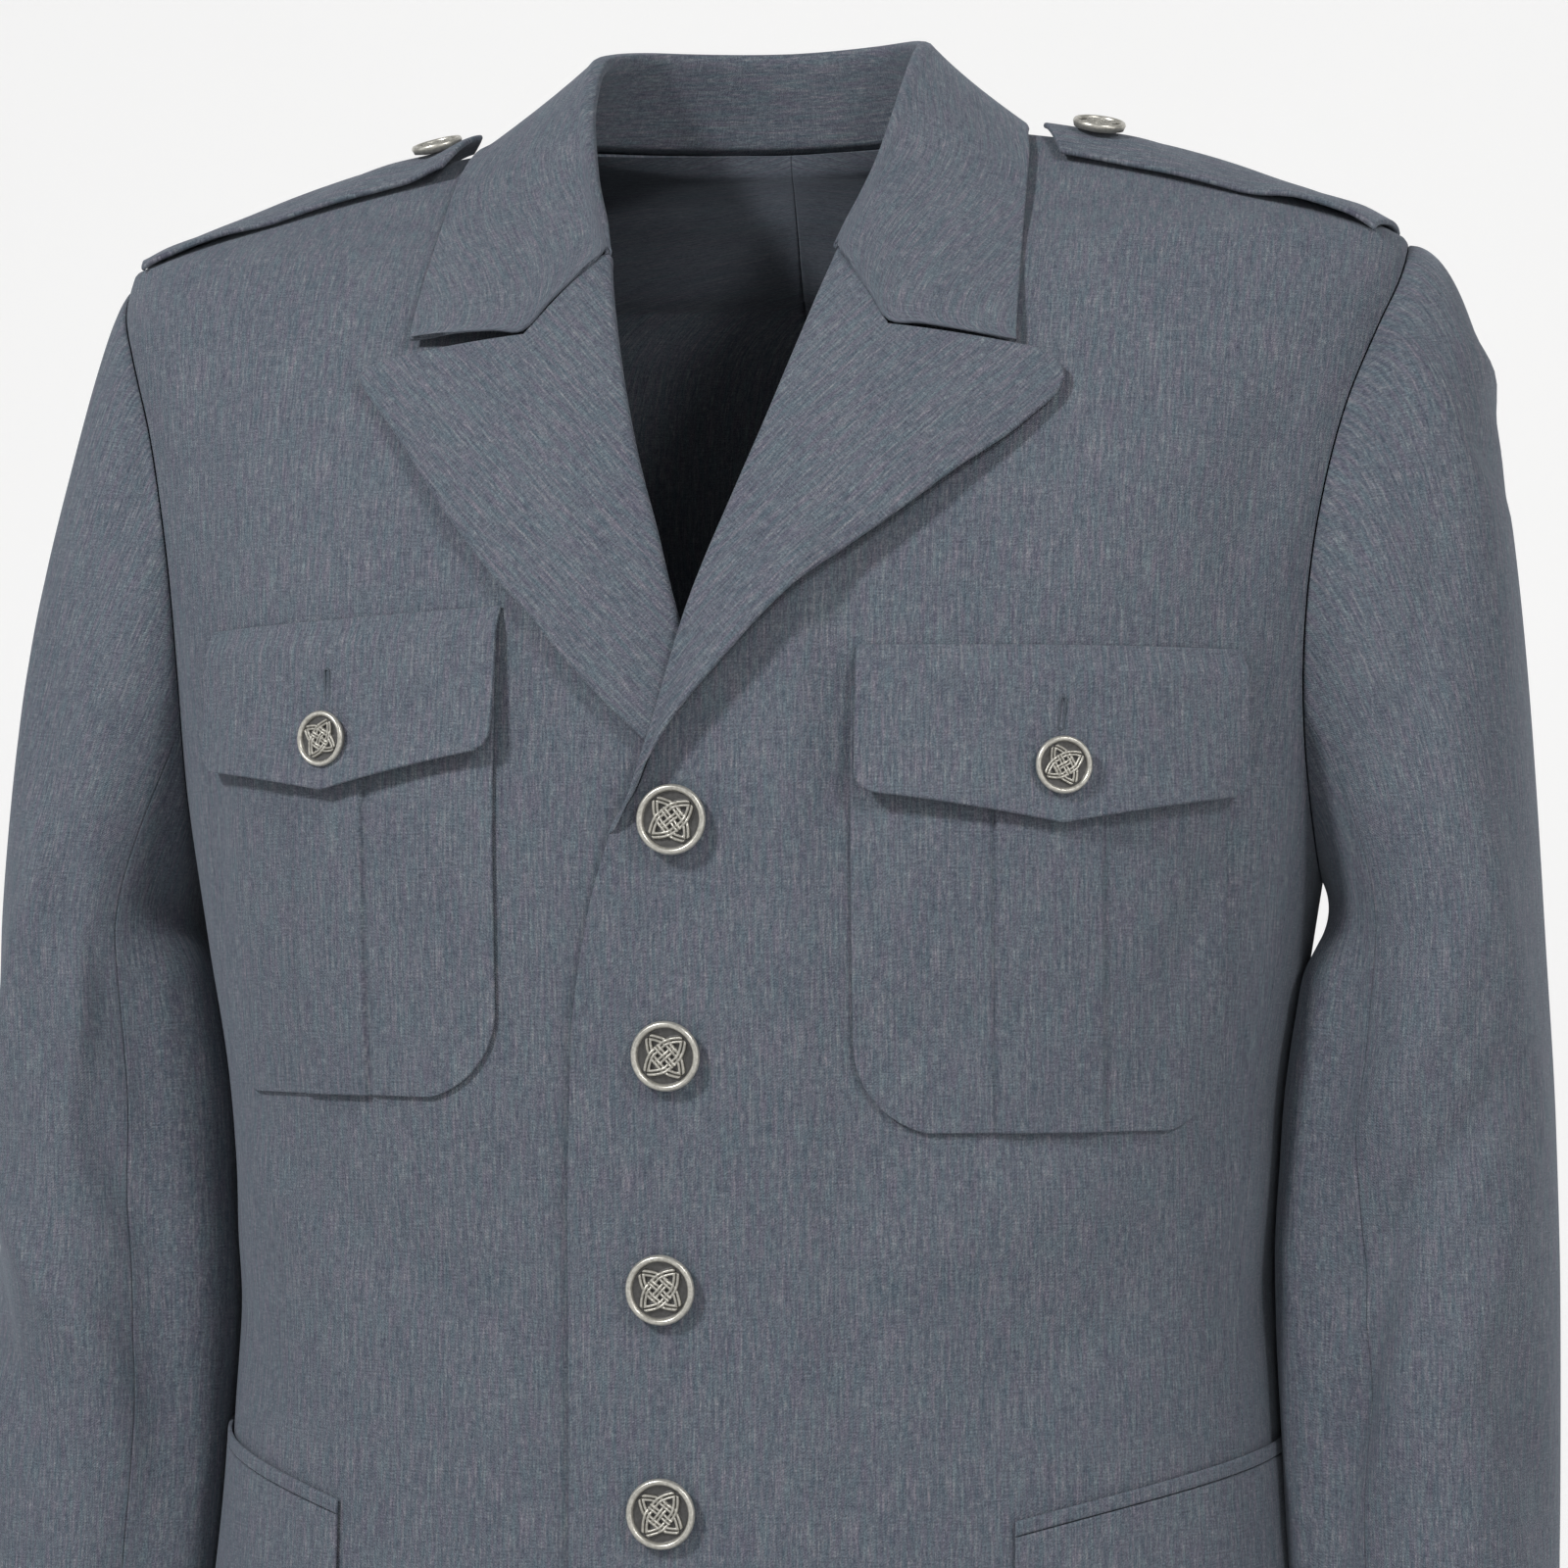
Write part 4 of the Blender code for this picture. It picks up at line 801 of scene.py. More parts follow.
def clear_of_body(point, clear):
    """The point, moved forward or back where needed to lie that far off the body."""
    x, y, z = point
    reach = float(ring_share(x / ring("half_width", z), z))
    if reach <= 0 or z > NECK_POINT_HEIGHT:
        return point
    if y < 0:
        return np.array((x, min(y, -float(ring("front_depth", z)) * reach - clear), z))
    return np.array((x, max(y, float(ring("back_depth", z)) * reach + clear), z))


def gorge_row(word):
    """The front end of the collar's fall, a seam's gap above the lapel's top edge."""
    t = np.maximum(COLLAR_COLUMNS, GORGE_START)
    roll = np.array((front_edge(GORGE_HEIGHT), GORGE_HEIGHT))
    notch = LAPEL_TOPS[word][0, 1:]
    first = roll + (notch - roll) * (t / NOTCH_SHARE)[:, None]
    past = ((t - NOTCH_SHARE) / (1 - NOTCH_SHARE))[:, None]
    second = notch + (np.array(COLLAR_CORNERS[word]) - notch) * past
    spot = np.where((t < NOTCH_SHARE)[:, None], first, second)
    x, z = spot[:, 0], spot[:, 1] + GORGE_GAP
    width = np.linalg.norm(LAPEL_EDGES["left"][-1, 1:] - roll)
    return body_point(angle_at_width(x, z), z, fall_lift(t, width) + LAPEL_WALL - 0.0004)


def collar_profile(share, word):
    """One section of the collar, from its neck seam over the fold to the outer edge."""
    columns = COLLAR_STATIONS.T
    values = np.array([smooth_curve(columns[0], column, share) for column in columns[1:]])
    fold, edge = values[:3], values[3:]
    angle, height = neck_seam(share)
    seat = COLLAR_SEAT + (COLLAR_END_SEAT - COLLAR_SEAT) * smooth_step(0.86, 1.0, share)
    seam = body_point(np.array(angle), np.array(height), np.array(seat))
    outward = (edge - fold) * (1, 1, 0)
    outward /= np.linalg.norm(outward)
    start = fold + outward * COLLAR_FOLD
    crest = fold + (outward * 0.5 + np.array((0, 0, 0.45))) * COLLAR_FOLD
    length = np.linalg.norm(edge - start)
    end_weight = smooth_step(0.72, 1.0, share) ** 1.5
    points = [seam, seam * 0.5 + fold * 0.5, fold, crest]
    for t, end in zip(COLLAR_COLUMNS, gorge_row(word)):
        clear = fall_lift(t, length) + COLLAR_WALL + COLLAR_SEAT
        point = clear_of_body(start * (1 - t) + edge * t, clear)
        points.append(point + (end - point) * end_weight)
    return np.array(points)


def refined(points, counts):
    """A smooth curve through a row of points, cut into so many steps between each two."""
    before = np.concatenate([[2 * points[0] - points[1]], points, [2 * points[-1] - points[-2]]])
    out = []
    for k, count in enumerate(counts):
        p0, p1, p2, p3 = before[k : k + 4]
        t = (np.arange(count) / count)[:, None, None]
        bend = (2 * p0 - 5 * p1 + 4 * p2 - p3) * t**2 + (3 * p1 - p0 - 3 * p2 + p3) * t**3
        out.append(0.5 * (2 * p1 + (p2 - p0) * t + bend))
    return np.concatenate([*out, points[None, -1]])


# Steps between the collar's points, and the column where its fall begins
COLLAR_STEPS = (5, 5, 3, 3, 4, 4, 4, 5, 5, 5, 5)
FALL_COLUMN = 22
def make_collar():
    """The collar in one piece, with a thread eyelet near each front end, its ring nearly closed and
    coloured near-black as painted shade for the hole.
    """
    end = 1 - np.array((0.0, 0.0008, 0.0018, 0.0030, 0.0050, 0.0080))
    half = np.concatenate([np.linspace(0, 0.985, 74), end[::-1]])
    left, right = [np.array([collar_profile(share, word) for share in half]) for word, _ in SIDES]
    coarse = np.concatenate([mirror(right[:0:-1], -1), left])
    grid = np.swapaxes(refined(np.swapaxes(coarse, 0, 1), COLLAR_STEPS), 0, 1)
    tail = grid[:, -2:-1] + (grid[:, -1:] - grid[:, -2:-1]) * np.array((0.5, 0.8, 0.93))[:, None]
    grid = np.concatenate([grid[:, :-1], tail, grid[:, -1:]], axis=1)
    normal = np.cross(np.gradient(grid, axis=1), np.gradient(grid, axis=0))
    normal /= np.linalg.norm(normal, axis=-1, keepdims=True)
    down = lengths_along(grid, 1)
    cloth = grain(down, lengths_along(grid[:, FALL_COLUMN], 0)[:, None] + 0 * down)
    point_at = moved_out(grid, normal, -COLLAR_WALL, 1)
    make_cloth("collar", point_at, COLLAR_WALL, cloth, "front_left", "front_right")
    for name, x, z in COLLAR_EYELETS:
        away = np.hypot(grid[..., 0] - x, grid[..., 2] - z) + 0.02 * (grid[..., 1] > -0.02)
        fall = away[3:-3, FALL_COLUMN:-6]
        row, column = np.unravel_index(np.argmin(fall), fall.shape)
        row, column = row + 3, column + FALL_COLUMN
        up = grid[row, column - 1] - grid[row, column + 1]
        up = up / np.linalg.norm(up)
        across = np.cross(up, normal[row, column])
        # The eyelet's ring is nearly closed, and its near-black colour is painted shade for the hole.
        ring_of_thread(name, grid[row, column], across, up, (0.0007, 0.0008), 0.00050, EYELET_HOLE_SHADE)


# Pockets and flaps


def on_panel(word, side, places, heights, lift):
    """As on_body, for a piece whose columns are lengths round the body."""
    return on_body(word, side, angle_at_girth(places, heights), heights, lift)


PLEAT_GAPE = {"left": 0.0005, "right": 0.0010}
PLEAT_SINK = 0.0007
POCKET_PUFF = 0.0012
def make_breast_pockets():
    """Patch pockets. A box pleat's two folds stand up, and the inner one gapes."""
    down = stops(0.150, 0.0025)
    heights = BREAST_TOP + (BREAST_BOTTOM - BREAST_TOP) * down
    above = np.clip(BREAST_CORNER - (heights - BREAST_BOTTOM), 0, BREAST_CORNER)
    inset = (BREAST_CORNER - np.sqrt(BREAST_CORNER**2 - (above * 0.985) ** 2))[:, None]
    near = np.array((-0.0026, -0.0014, -0.0008, -0.0004, 0.0, 0.0004, 0.0008, 0.0016, 0.0030))
    half = BREAST_WIDTH / 2
    for word, side in SIDES:
        centre = BREAST_CENTRE - side * BREAST_SHIFT
        inner, outer = PLEAT_FOLDS[word]
        fine = np.concatenate([fold - centre + half + near for fold in (inner, outer)])
        share = stops(BREAST_WIDTH, 0.0030, fine=fine)
        offset = (BREAST_WIDTH * share - half)[None, :]
        inner_part = inner - 0.004 - centre
        outer_part = outer + 0.004 - centre
        shift = np.clip((offset - inner_part) / (-half - inner_part), 0, 1)
        shift = shift - np.clip((offset - outer_part) / (half - outer_part), 0, 1)
        places = centre + offset + inset * shift
        grid = heights[:, None] + BREAST_RIGHT_RISE * (1 - side) / 2 + 0 * places
        raised = smooth_step(inner - 0.0004, inner + 0.0006, places)
        raised = raised * (1 - smooth_step(outer - 0.0006, outer + 0.0004, places))
        crack = np.exp(-(((places - inner + 0.0008) / PLEAT_GAPE[word]) ** 2))
        crack = crack * smooth_step(0.10, 0.25, down)[:, None]
        puff = POCKET_PUFF * np.sin(np.pi * share)[None, :] * np.sin(np.pi * down)[:, None]
        lift = POCKET_SEAT + PLEAT_RISE * raised - PLEAT_SINK * crack + puff
        name = f"breast_pocket_{word}"
        point_at = on_panel(word, side, places, grid, lift)
        make_cloth(name, point_at, POCKET_WALL, grain(places, grid), f"front_{word}")


def flap_place(word, side, across, height):
    places = FLAP_CENTRE + FLAP_WIDTH[word] / 2 * across
    tilt = FLAP_TILT[word] * (0.5 - 0.5 * across) ** 1.5
    return places, height + BREAST_RIGHT_RISE * (1 - side) / 2 + tilt


def flap_low_edge(word, across):
    """The flap's pointed lower edge, with its corners rounded."""
    from_side = FLAP_WIDTH[word] / 2 * (1 - np.abs(across))
    round_part = np.clip(FLAP_CORNER - from_side, 0, FLAP_CORNER)
    low = FLAP_SIDE + (FLAP_POINT - FLAP_SIDE) * (1 - np.abs(across)) ** FLAP_POINT_BEND
    return low + FLAP_CORNER - np.sqrt(FLAP_CORNER**2 - round_part**2)


def flap_lift(down):
    over_pocket = POCKET_SEAT + POCKET_WALL + PLEAT_RISE + SEAM_GAP
    return SEAM_GAP + over_pocket * smooth_step(0.0, 0.20, down) + FLAP_LIFT * down**2


FLAP_WAVES = {"left": (0.0010, 2.6, 0.4), "right": (0.0016, 2.2, 1.5)}


def make_breast_flaps():
    down = stops(0.055, 0.0022)[:, None]
    for word, side in SIDES:
        across = 2 * stops(FLAP_WIDTH[word], 0.0024)[None, :] - 1
        heights = FLAP_TOP + (flap_low_edge(word, across) - FLAP_TOP) * down
        places, grid = flap_place(word, side, across + 0 * down, heights)
        rise, waves, start = FLAP_WAVES[word]
        lift = flap_lift(down) + rise * np.sin(waves * across + start) ** 2 * down**2
        point_at = on_panel(word, side, places, grid, lift)
        cloth = grain(places, grid)
        make_cloth(f"breast_flap_{word}", point_at, FLAP_WALL, cloth, f"breast_pocket_{word}")


def skirt_height(share):
    return SKIRT_HEIGHT + SKIRT_RISE * (1 - (1 - share) ** 2)


def make_skirt_pockets():
    """Each skirt pocket's band, and the flap below it."""
    share = stops(SKIRT_WIDTH, 0.0030)[None, :]
    rows = np.array((0.0, 0.02, 0.06, 0.14, 0.30, 0.50, 0.70, 0.86, 0.94, 0.98, 1.0))[:, None]
    down = stops(SKIRT_FLAP_DEPTH, 0.0028)[:, None]
    below = SKIRT_BAND + SEAM_GAP
    parts = (
        ("band", SKIRT_BAND * rows, BAND_SEAT),
        ("flap", below + SKIRT_FLAP_DEPTH * down, BAND_SEAT + FLAP_LIFT * 0.5 * down**2),
    )
    for word, side in SIDES:
        for part, drop, lift in parts:
            places = SKIRT_START - side * SKIRT_SHIFT + SKIRT_WIDTH * share + 0 * drop
            heights = skirt_height(share) - drop
            point_at = on_panel(word, side, places, heights, lift)
            cloth = grain(places, heights)
            make_cloth(f"skirt_pocket_{part}_{word}", point_at, FLAP_WALL, cloth, f"front_{word}")


# Shoulder straps


def shoulder_surface(x, y):
    """The body's surface above a place on the shoulder."""
    x, y = np.broadcast_arrays(np.asarray(x, float), np.asarray(y, float))
    low = np.full(x.shape, -0.120)
    high = np.full(x.shape, 0.003)
    for _ in range(30):
        middle = (low + high) / 2
        power = squareness(middle)
        sideways = (np.abs(x) / ring("half_width", middle)) ** power
        inside = sideways + (np.abs(y) / depth_at(y, middle)) ** power < 1
        low = np.where(inside, middle, low)
        high = np.where(inside, high, middle)
    return np.stack([x, y, (low + high) / 2], axis=-1)


def strap_lift(along):
    return STRAP_SEAT + STRAP_TIP_LIFT * (1 - along) ** 1.6


STRAP_GAPE = {"left": 0.0024, "right": 0.0010}
STRAP_CURL = {"left": 0.0, "right": 0.0030}


def make_straps():
    """Each strap gapes a little along its front edge, and the right one's tip curls up."""
    along = stops(0.130, 0.0026)[:, None]
    across = 2 * stops(0.050, 0.0024)[None, :] - 1
    width = STRAP_TIP_WIDTH + (STRAP_SHOULDER_WIDTH - STRAP_TIP_WIDTH) * along
    y = width / 2 * across - STRAP_FORWARD
    end = STRAP_END - STRAP_END_CURVE * y**2
    gape = smooth_step(0.60, 0.76, along) * (1 - smooth_step(0.90, 1.0, along))
    gape = gape * smooth_step(-0.2, 1.0, -across)
    wave = np.abs(0.0006 * np.sin(9 * along + 2 * across)) * smooth_step(0.15, 0.3, along)
    for word, side in SIDES:
        start = STRAP_TIP[word] + STRAP_POINT * np.abs(across) ** 1.08
        x = start + (end - start) * along
        curl = STRAP_CURL[word] * (1 - smooth_step(0.0, 0.14, along))
        lift = strap_lift(along) + STRAP_GAPE[word] * gape + curl + wave
        normal = normals_of(shoulder_surface, x, y, 1e-3, 1e-3)
        point_at = moved_out(shoulder_surface(x, y), normal, lift, side)
        cloth = grain(y + 0 * x, x)
        make_cloth(f"strap_{word}", point_at, STRAP_WALL, cloth, f"front_{word}", f"back_{word}")


# Buttons: a rim round a sunk field with a raised plait

BUTTON_TURNS = 180
BUTTON_BACK = ((1.00, 0.26), (0.94, 0.08), (0.62, 0.00))
FIELD_HEIGHT = 0.205
PLAIT_HEIGHT = 0.150
BACK_RELIEF = 0.6
BUTTON_SPINS = (4, -6, -8, -5, 2, 6, -8, 10)
PLAIT_PITCH = 0.290
PLAIT_TIP = 0.72
BAND_TURN = 0.20
BAND_END = 0.40
CORD_APART = 0.055
CORD_HALF = 0.053


def cords(away):
    """A band of two cords, side by side: its height at a distance from its middle line."""
    near = np.clip(np.abs(np.abs(away) - CORD_APART) / CORD_HALF, 0, 1)
    return np.sqrt(1 - near**2.4)


def plait_bands(along, away):
    """Three bands that run one way. The outer two close up to a point at each end."""
    reach = PLAIT_TIP - BAND_TURN
    part = np.clip((np.abs(along) - BAND_TURN) / reach, 0, 1)
    line = PLAIT_PITCH * (1 - part**1.6)
    slope = PLAIT_PITCH * 1.6 * part**0.6 / reach
    outer = cords((np.abs(away) - line) / np.sqrt(1 + slope**2)) * (np.abs(along) < PLAIT_TIP)
    return np.maximum(outer, cords(away) * (np.abs(along) < BAND_END))


def plait_height(x, y):
    """A square plait of three bands each way, over and under: 0 to 1."""
    p, q = (x + y) / math.sqrt(2), (x - y) / math.sqrt(2)
    over = np.cos(np.pi * p / PLAIT_PITCH) * np.cos(np.pi * q / PLAIT_PITCH)
    over = over * (np.abs(p) < 0.45) * (np.abs(q) < 0.45)
    first = plait_bands(p, q) * (0.78 + 0.22 * over)
    second = plait_bands(q, p) * (0.78 - 0.22 * over)
    return np.maximum(first, second)


def button_mesh(name, radius):
    """The button's face on rings, then its back, closed at both centres."""
    turns = np.arange(BUTTON_TURNS) * 2 * np.pi / BUTTON_TURNS
    rows = []
    reliefs = []

    def add_ring(share, height, relief):
        rows.append(np.stack([share * np.cos(turns), share * np.sin(turns), 0 * turns + height], -1))
        reliefs.append(0 * turns + relief)

    for share in np.linspace(0.0, 0.775, 60)[1:]:
        relief = plait_height(share * np.cos(turns), share * np.sin(turns))
        add_ring(share, FIELD_HEIGHT + 0.035 * share**2 + PLAIT_HEIGHT * relief, relief)
    for share in (0.79, 0.80, 0.81, 0.83, 0.86, 0.89, 0.92, 0.95, 0.975, 0.99):
        bump = math.sqrt(max(0.0, 1 - (abs(share - 0.90) / 0.102) ** 2.2))
        add_ring(share, 0.225 + 0.165 * bump, smooth_step(0.0, 0.35, bump) * 1.1)
    for share, height in BUTTON_BACK:
        add_ring(share, height, BACK_RELIEF)
    top_relief = float(plait_height(0.0, 0.0))
    top = (0.0, 0.0, (FIELD_HEIGHT + PLAIT_HEIGHT * top_relief) * radius)
    points = [top, *(np.array(rows) * radius).reshape(-1, 3).tolist(), (0.0, 0.0, 0.0)]
    index = 1 + np.arange(len(rows) * BUTTON_TURNS).reshape(len(rows), -1)
    after = np.roll(index, -1, axis=1)
    faces = np.stack([index[:-1], index[1:], after[1:], after[:-1]], axis=-1).reshape(-1, 4).tolist()
    faces += [(0, int(a), int(b)) for a, b in zip(index[0], after[0])]
    faces += [(len(points) - 1, int(b), int(a)) for a, b in zip(index[-1], after[-1])]
    mesh = new_mesh(name, points, faces)
    relief = mesh.attributes.new("relief", "FLOAT", "POINT")
    values = np.concatenate([[top_relief], np.concatenate(reliefs), [BACK_RELIEF]])
    relief.data.foreach_set("value", values.astype(np.float32))
    return mesh


def cad_button_place(node):
    """The centre of a CAD button's back and the way it faces, from its own points."""
    points = np.array([v.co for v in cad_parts[node].data.vertices], float)
    centre = points.mean(axis=0)
    _, _, axes = np.linalg.svd(points - centre)
    normal = axes[2]
    outward = centre * np.array((1, 1, 0)) if "strap" not in node else np.array((0, 0, 1.0))
    if np.dot(normal, outward) < 0:
        normal = -normal
    along = (points - centre) @ normal
    return centre + normal * along.min(), normal


def make_buttons():
    nodes = [name for name in sorted(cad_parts) if "button" in name]
    for name, spin in zip(nodes, BUTTON_SPINS):
        place_at, normal = cad_button_place(name)
        size = FRONT_BUTTON if name.startswith("front") else SMALL_BUTTON
        mesh = button_mesh(name, size / 2)
        turn = Vector((0, 0, 1)).rotation_difference(Vector(normal)).to_matrix().to_4x4()
        spun = Matrix.Rotation(math.radians(spin), 4, "Z")
        mesh.transform(Matrix.Translation(Vector(place_at)) @ turn @ spun)
        place(f"{name}_metal", mesh, METAL, [name])


# Thread: buttonholes and eyelets; the eyelets' near-black colour is painted shade for their holes


def ring_of_thread(name, centre, across, along, halves, cord, material):
    """A closed ring of thread that lies on the cloth, by its half width and half length."""
    turns = np.linspace(0, 2 * np.pi, 48, endpoint=False)
    half_width, half_length = halves
    x = half_width * np.cos(turns)
    y = half_width * np.sin(turns) + np.sign(np.sin(turns)) * (half_length - half_width)
    line = centre + x[:, None] * across + y[:, None] * along
    normal = np.cross(across, along)
    tangent = np.roll(line, -1, axis=0) - np.roll(line, 1, axis=0)
    tangent /= np.linalg.norm(tangent, axis=1)[:, None]
    around = np.linspace(0, 2 * np.pi, 10, endpoint=False)[None, :, None]
    points = line[:, None] + cord * np.cos(around) * np.cross(normal, tangent)[:, None]
    points = points + cord * np.sin(around) * normal
    index = np.arange(points.shape[0] * points.shape[1]).reshape(points.shape[:2])
    after, beside = np.roll(index, -1, axis=0), np.roll(index, -1, axis=1)
    both = np.roll(after, -1, axis=1)
    faces = np.stack([index, after, both, beside], axis=-1).reshape(-1, 4).tolist()
    return place(name, new_mesh(name, points.reshape(-1, 3).tolist(), faces), material)


def make_buttonholes():
    """The worked hole above each flap button."""
    middle = FLAP_TOP + (FLAP_POINT - FLAP_TOP) * 0.68 + 0.0172
    down = (FLAP_TOP - middle) / (FLAP_TOP - FLAP_POINT)
    for word, side in SIDES:
        places, height = flap_place(word, side, np.array(0.0), np.array(middle))
        angle = angle_at_girth(places, height)
        rise, _, start = FLAP_WAVES[word]
        lift = float(flap_lift(down)) + rise * math.sin(start) ** 2 * down**2 + FLAP_WALL
        lift = np.array(lift + float(body_relief(word, angle, height)))
        across = body_point(angle + 1e-3, height, lift) - body_point(angle - 1e-3, height, lift)
        up = body_point(angle, height + 1e-3, lift) - body_point(angle, height - 1e-3, lift)
        across = mirror(across / np.linalg.norm(across), side) * side
        up = mirror(up / np.linalg.norm(up), side)
        spot = mirror(body_point(angle, height, lift), side)
        name = f"flap_buttonhole_{word}"
        ring_of_thread(name, spot, across, up, (0.0009, 0.0056), 0.00045, THREAD)


# Materials


def new_material(name):
    made = bpy.data.materials.new(name)
    made.use_nodes = True
    return made, made.node_tree, made.node_tree.nodes["Principled BSDF"]


def node(tree, kind, values=(), **settings):
    """A new shader node, with its settings and the values of its inputs."""
    made = tree.nodes.new(kind)
    for key, value in settings.items():
        setattr(made, key, value)
    set_inputs(made, dict(values))
    return made


def set_inputs(made, values):
    for key, value in values.items():
        made.inputs[key].default_value = value


def bump(tree, source, strength, distance):
    """A bump from a height. Its Normal input is free for another bump below it."""
    made = node(tree, "ShaderNodeBump", {"Strength": strength, "Distance": distance})
    tree.links.new(source, made.inputs["Height"])
    return made


def scaled_noise(tree, source, scale, detail=2.0, roughness=0.5, offset=(0, 0, 0)):
    """Noise whose coordinates are lengths on the cloth, so the scale is marks a metre."""
    mapping = node(tree, "ShaderNodeMapping", {"Scale": scale, "Location": offset})
    values = {"Scale": 1.0, "Detail": detail, "Roughness": roughness}
    noise = node(tree, "ShaderNodeTexNoise", values)
    tree.links.new(source, mapping.inputs["Vector"])
    tree.links.new(mapping.outputs["Vector"], noise.inputs["Vector"])
    return noise.outputs["Fac"]


def ramp(tree, source, stops_at):
    made = node(tree, "ShaderNodeValToRGB")
    elements = made.color_ramp.elements
    while len(elements) > 1:
        elements.remove(elements[-1])
    elements[0].position, elements[0].color = stops_at[0][0], (*stops_at[0][1], 1)
    for at, colour in stops_at[1:]:
        element = elements.new(at)
        element.color = (*colour, 1)
    tree.links.new(source, made.inputs["Fac"])
    return made.outputs["Color"]


def mix(tree, mode, share, first, second):
    made = node(tree, "ShaderNodeMix", data_type="RGBA", blend_type=mode)
    if isinstance(share, float):
        made.inputs["Factor"].default_value = share
    else:
        tree.links.new(share, made.inputs["Factor"])
    tree.links.new(first, made.inputs[6])
    tree.links.new(second, made.inputs[7])
    return made.outputs[2]


# Each layer of the cloth's look: marks a metre, detail, roughness, offset, then its colours
CLOTH_LAYERS = {
    "yarns": (
        ((1050, 48, 1), 3.0, 0.62, (0, 0, 0)),
        (0.32, (0.055, 0.064, 0.088)),
        (0.46, (0.090, 0.102, 0.126)),
        (0.56, (0.112, 0.124, 0.148)),
        (0.68, (0.190, 0.198, 0.212)),
    ),
    "threads": (
        ((1350, 260, 1), 3.0, 0.65, (7, 3, 0)),
        (0.30, (0.044, 0.053, 0.075)),
        (0.44, (0.082, 0.095, 0.119)),
        (0.56, (0.122, 0.135, 0.158)),
        (0.70, (0.232, 0.238, 0.246)),
    ),
    "tints": (
        ((520, 60, 1), 3.0, 0.65, (5, 1, 0)),
        (0.36, (0.91, 1.03, 1.01)),
        (0.50, (1.0, 1.0, 1.0)),
        (0.64, (1.08, 0.96, 1.01)),
    ),
    "wefts": (
        ((190, 1500, 1), 2.0, 0.6, (3, 8, 0)),
        (0.34, (0.84, 0.84, 0.85)),
        (0.68, (1.16, 1.16, 1.15)),
    ),
    "clouds": (
        ((26, 18, 1), 2.0, 0.5, (1, 4, 0)),
        (0.30, (0.95, 0.95, 0.96)),
        (0.70, (1.05, 1.05, 1.04)),
    ),
}
GRAIN_COLOURS = ((0.30, (0.60, 0.60, 0.62)), (0.70, (1.42, 1.42, 1.40)))


def suiting():
    """Heathered twill: navy, grey-blue and taupe yarns, streaked along the warp."""
    made, tree, shader = new_material("blue_grey_suiting")
    cloth = node(tree, "ShaderNodeUVMap", uv_map="cloth").outputs["UV"]
    speckle = scaled_noise(tree, cloth, (1700, 1500, 1), 2.0, 0.7, (2, 9, 0))
    layers = {}
    for name, (noise, *colours) in CLOTH_LAYERS.items():
        layers[name] = ramp(tree, scaled_noise(tree, cloth, *noise), colours)
    colour = mix(tree, "MIX", 0.5, layers["yarns"], layers["threads"])
    colour = mix(tree, "MULTIPLY", 1.0, colour, layers["tints"])
    colour = mix(tree, "MULTIPLY", 1.0, colour, layers["wefts"])
    colour = mix(tree, "MULTIPLY", 0.95, colour, ramp(tree, speckle, GRAIN_COLOURS))
    colour = mix(tree, "MULTIPLY", 1.0, colour, layers["clouds"])
    tree.links.new(colour, shader.inputs["Base Color"])
    set_inputs(shader, {"Roughness": 0.88, "Specular IOR Level": 0.22, "Sheen Weight": 0.22})
    set_inputs(shader, {"Sheen Roughness": 0.45, "Sheen Tint": (0.62, 0.70, 0.80, 1)})
    turned = node(tree, "ShaderNodeMapping", {"Rotation": (0, 0, math.radians(56))})
    tree.links.new(cloth, turned.inputs["Vector"])
    waves = {"Scale": 380.0, "Distortion": 1.2, "Detail": 1.0}
    twill = node(tree, "ShaderNodeTexWave", waves, wave_type="BANDS", bands_direction="X")
    tree.links.new(turned.outputs["Vector"], twill.inputs["Vector"])
    ribs = bump(tree, twill.outputs["Fac"], 0.30, 0.00025)
    fuzz = bump(tree, speckle, 0.35, 0.0003)
    tree.links.new(ribs.outputs["Normal"], fuzz.inputs["Normal"])
    tree.links.new(fuzz.outputs["Normal"], shader.inputs["Normal"])
    return made


PEWTER_COLOURS = (
    (0.00, (0.110, 0.108, 0.106)),
    (0.25, (0.085, 0.083, 0.080)),
    (0.55, (0.400, 0.385, 0.345)),
    (1.00, (0.620, 0.600, 0.540)),
)


def pewter():
    """Antique pewter: bright on what stands up, dark in the hollows."""
    made, tree, shader = new_material("antique_pewter")
    relief = node(tree, "ShaderNodeAttribute", attribute_name="relief").outputs["Fac"]
    place_at = node(tree, "ShaderNodeTexCoord").outputs["Object"]
    tarnish = scaled_noise(tree, place_at, (900, 900, 900), 4.0, 0.6)
    marks = ramp(tree, tarnish, ((0.35, (0.62, 0.62, 0.61)), (0.65, (1.0, 1.0, 1.0))))
    colour = mix(tree, "MULTIPLY", 0.8, ramp(tree, relief, PEWTER_COLOURS), marks)
    tree.links.new(colour, shader.inputs["Base Color"])
    rough = node(tree, "ShaderNodeMapRange", {"To Min": 0.42, "To Max": 0.34})
    tree.links.new(relief, rough.inputs["Value"])
    tree.links.new(rough.outputs["Result"], shader.inputs["Roughness"])
    set_inputs(shader, {"Metallic": 0.65})
    tree.links.new(bump(tree, tarnish, 0.15, 0.0001).outputs["Normal"], shader.inputs["Normal"])
    return made


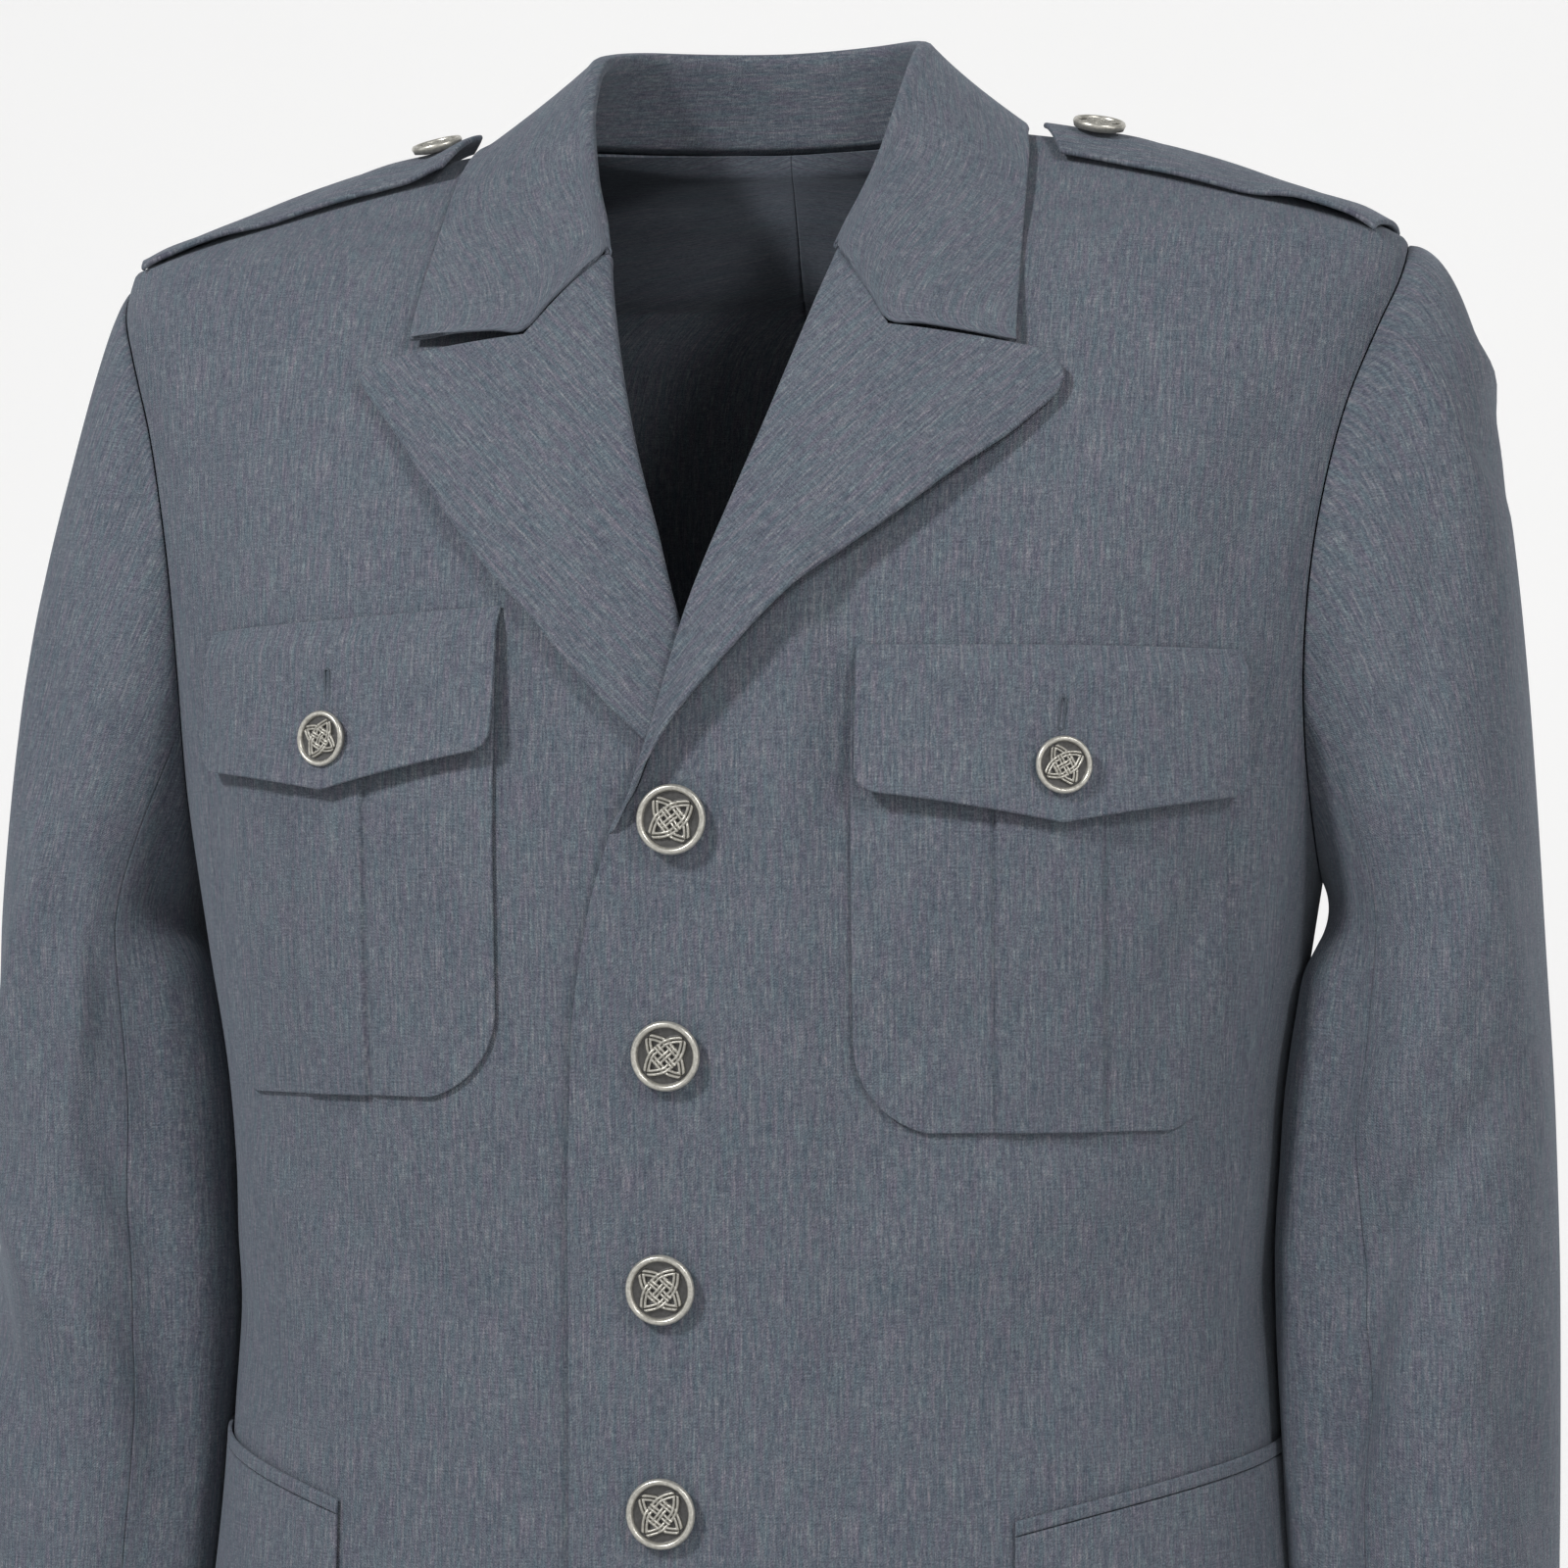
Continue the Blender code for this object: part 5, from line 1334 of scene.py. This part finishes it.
def thread():
    """Tightly worked blue-grey thread."""
    made, tree, shader = new_material("buttonhole_thread")
    place_at = node(tree, "ShaderNodeTexCoord").outputs["Object"]
    twist = scaled_noise(tree, place_at, (3500, 3500, 1800), 2.0, 0.6)
    colour = ramp(tree, twist, ((0.3, (0.030, 0.040, 0.055)), (0.7, (0.085, 0.100, 0.120))))
    tree.links.new(colour, shader.inputs["Base Color"])
    set_inputs(shader, {"Roughness": 0.75})
    tree.links.new(bump(tree, twist, 0.5, 0.0002).outputs["Normal"], shader.inputs["Normal"])
    return made


def plain(name, colour, roughness, glow=0.0):
    """A plain matt colour, a little uneven, which may glow."""
    made, tree, shader = new_material(name)
    place_at = node(tree, "ShaderNodeTexCoord").outputs["Object"]
    grey = scaled_noise(tree, place_at, (3, 3, 3), 2.0, 0.5)
    tone = ramp(tree, grey, ((0.3, tuple(c * 0.985 for c in colour)), (0.7, colour)))
    tree.links.new(tone, shader.inputs["Base Color"])
    set_inputs(shader, {"Roughness": roughness, "Emission Color": (*colour, 1)})
    set_inputs(shader, {"Emission Strength": glow})
    return made


# Stage, light and camera

CAMERA_TURN = 11
CAMERA_DISTANCE = 1.45
CAMERA_HEIGHT = -0.295
FOCAL_PIXELS = 3962
PICTURE_PIXELS = 1600
CAMERA_UP = math.degrees(math.atan(150 / FOCAL_PIXELS))
CAMERA_RIGHT = math.degrees(math.atan(26 / FOCAL_PIXELS))
SENSOR = 36.0

# Each light: name, place, aim height, size, power and colour
LIGHTS = (
    ("key", (-1.3, -2.0, 1.3), -0.3, (0.35, 0.35), 50, (0.99, 1.0, 1.01)),
    ("second", (1.6, -1.8, 1.2), -0.3, (0.40, 0.40), 24, (1.0, 1.0, 1.0)),
    ("front", (0.5, -2.4, -0.1), -0.35, (1.4, 1.2), 5, (1.0, 0.99, 0.98)),
    ("fill", (1.9, -0.9, -0.2), -0.35, (1.0, 1.6), 8, (1.0, 0.98, 0.97)),
    ("side", (-1.9, -0.9, -0.2), -0.35, (1.0, 1.6), 5, (0.98, 1.0, 1.02)),
)


def make_stage():
    """A white floor just under the hem that curves up into a backdrop."""
    depths = [(-2.6, 0.0), (1.0, 0.0)]
    for k in range(1, 13):
        turn = math.radians(7.5 * k)
        depths.append((1.0 + 0.7 * math.sin(turn), 0.7 * (1 - math.cos(turn))))
    depths.append((1.7, 3.2))
    floor_height = HEM_HEIGHT - 0.006
    points = [(x, y, z + floor_height) for y, z in depths for x in (-4.0, 4.0)]
    faces = [(2 * k, 2 * k + 1, 2 * k + 3, 2 * k + 2) for k in range(len(depths) - 1)]
    mesh = new_mesh("studio_sweep", points, faces)
    mesh.materials.append(plain("studio_floor", (0.70, 0.70, 0.70), 0.95))
    mesh.materials.append(plain("studio_white", (0.50, 0.498, 0.495), 0.95, 1.05))
    for face in mesh.polygons:
        face.material_index = 1 if face.center.y > 0.9 else 0
    add_object("studio_sweep", mesh)


def make_light():
    world = bpy.data.worlds.new("studio")
    world.use_nodes = True
    set_inputs(world.node_tree.nodes["Background"], {"Color": (1, 1, 1, 1), "Strength": 0.16})
    bpy.context.scene.world = world
    for name, place_at, aim_height, size, power, colour in LIGHTS:
        light = bpy.data.lights.new(name, "AREA")
        light.shape = "RECTANGLE"
        light.size, light.size_y = size
        light.energy = power
        light.color = colour
        lamp = add_object(name, light)
        lamp.location = place_at
        aimed = (Vector((0.0, 0.0, aim_height)) - Vector(place_at)).to_track_quat("-Z", "Y")
        lamp.rotation_euler = aimed.to_euler()


def make_camera():
    data = bpy.data.cameras.new("camera")
    data.sensor_width = SENSOR
    data.lens = SENSOR * FOCAL_PIXELS / PICTURE_PIXELS
    camera = add_object("camera", data)
    turn = math.radians(CAMERA_TURN)
    away = (CAMERA_DISTANCE * math.sin(turn), -CAMERA_DISTANCE * math.cos(turn))
    camera.location = (*away, CAMERA_HEIGHT)
    turns = (90 + CAMERA_UP, 0.0, CAMERA_TURN - CAMERA_RIGHT)
    camera.rotation_euler = Euler([math.radians(a) for a in turns])
    bpy.context.scene.camera = camera


CLOTH = suiting()
METAL = pewter()
THREAD = thread()
# Near-black eyelet thread: the colour is painted shade for the eyelet holes, which are not cut.
EYELET_HOLE_SHADE = plain("eyelet_painted_hole_shade", (0.010, 0.011, 0.016), 0.9)
make_fronts()
make_sides()
make_backs()
make_sleeves()
make_lapels()
make_collar()
make_breast_pockets()
make_breast_flaps()
make_skirt_pockets()
make_straps()
make_buttons()
make_buttonholes()
make_stage()
make_light()
make_camera()
bpy.context.scene.view_settings.view_transform = "Standard"
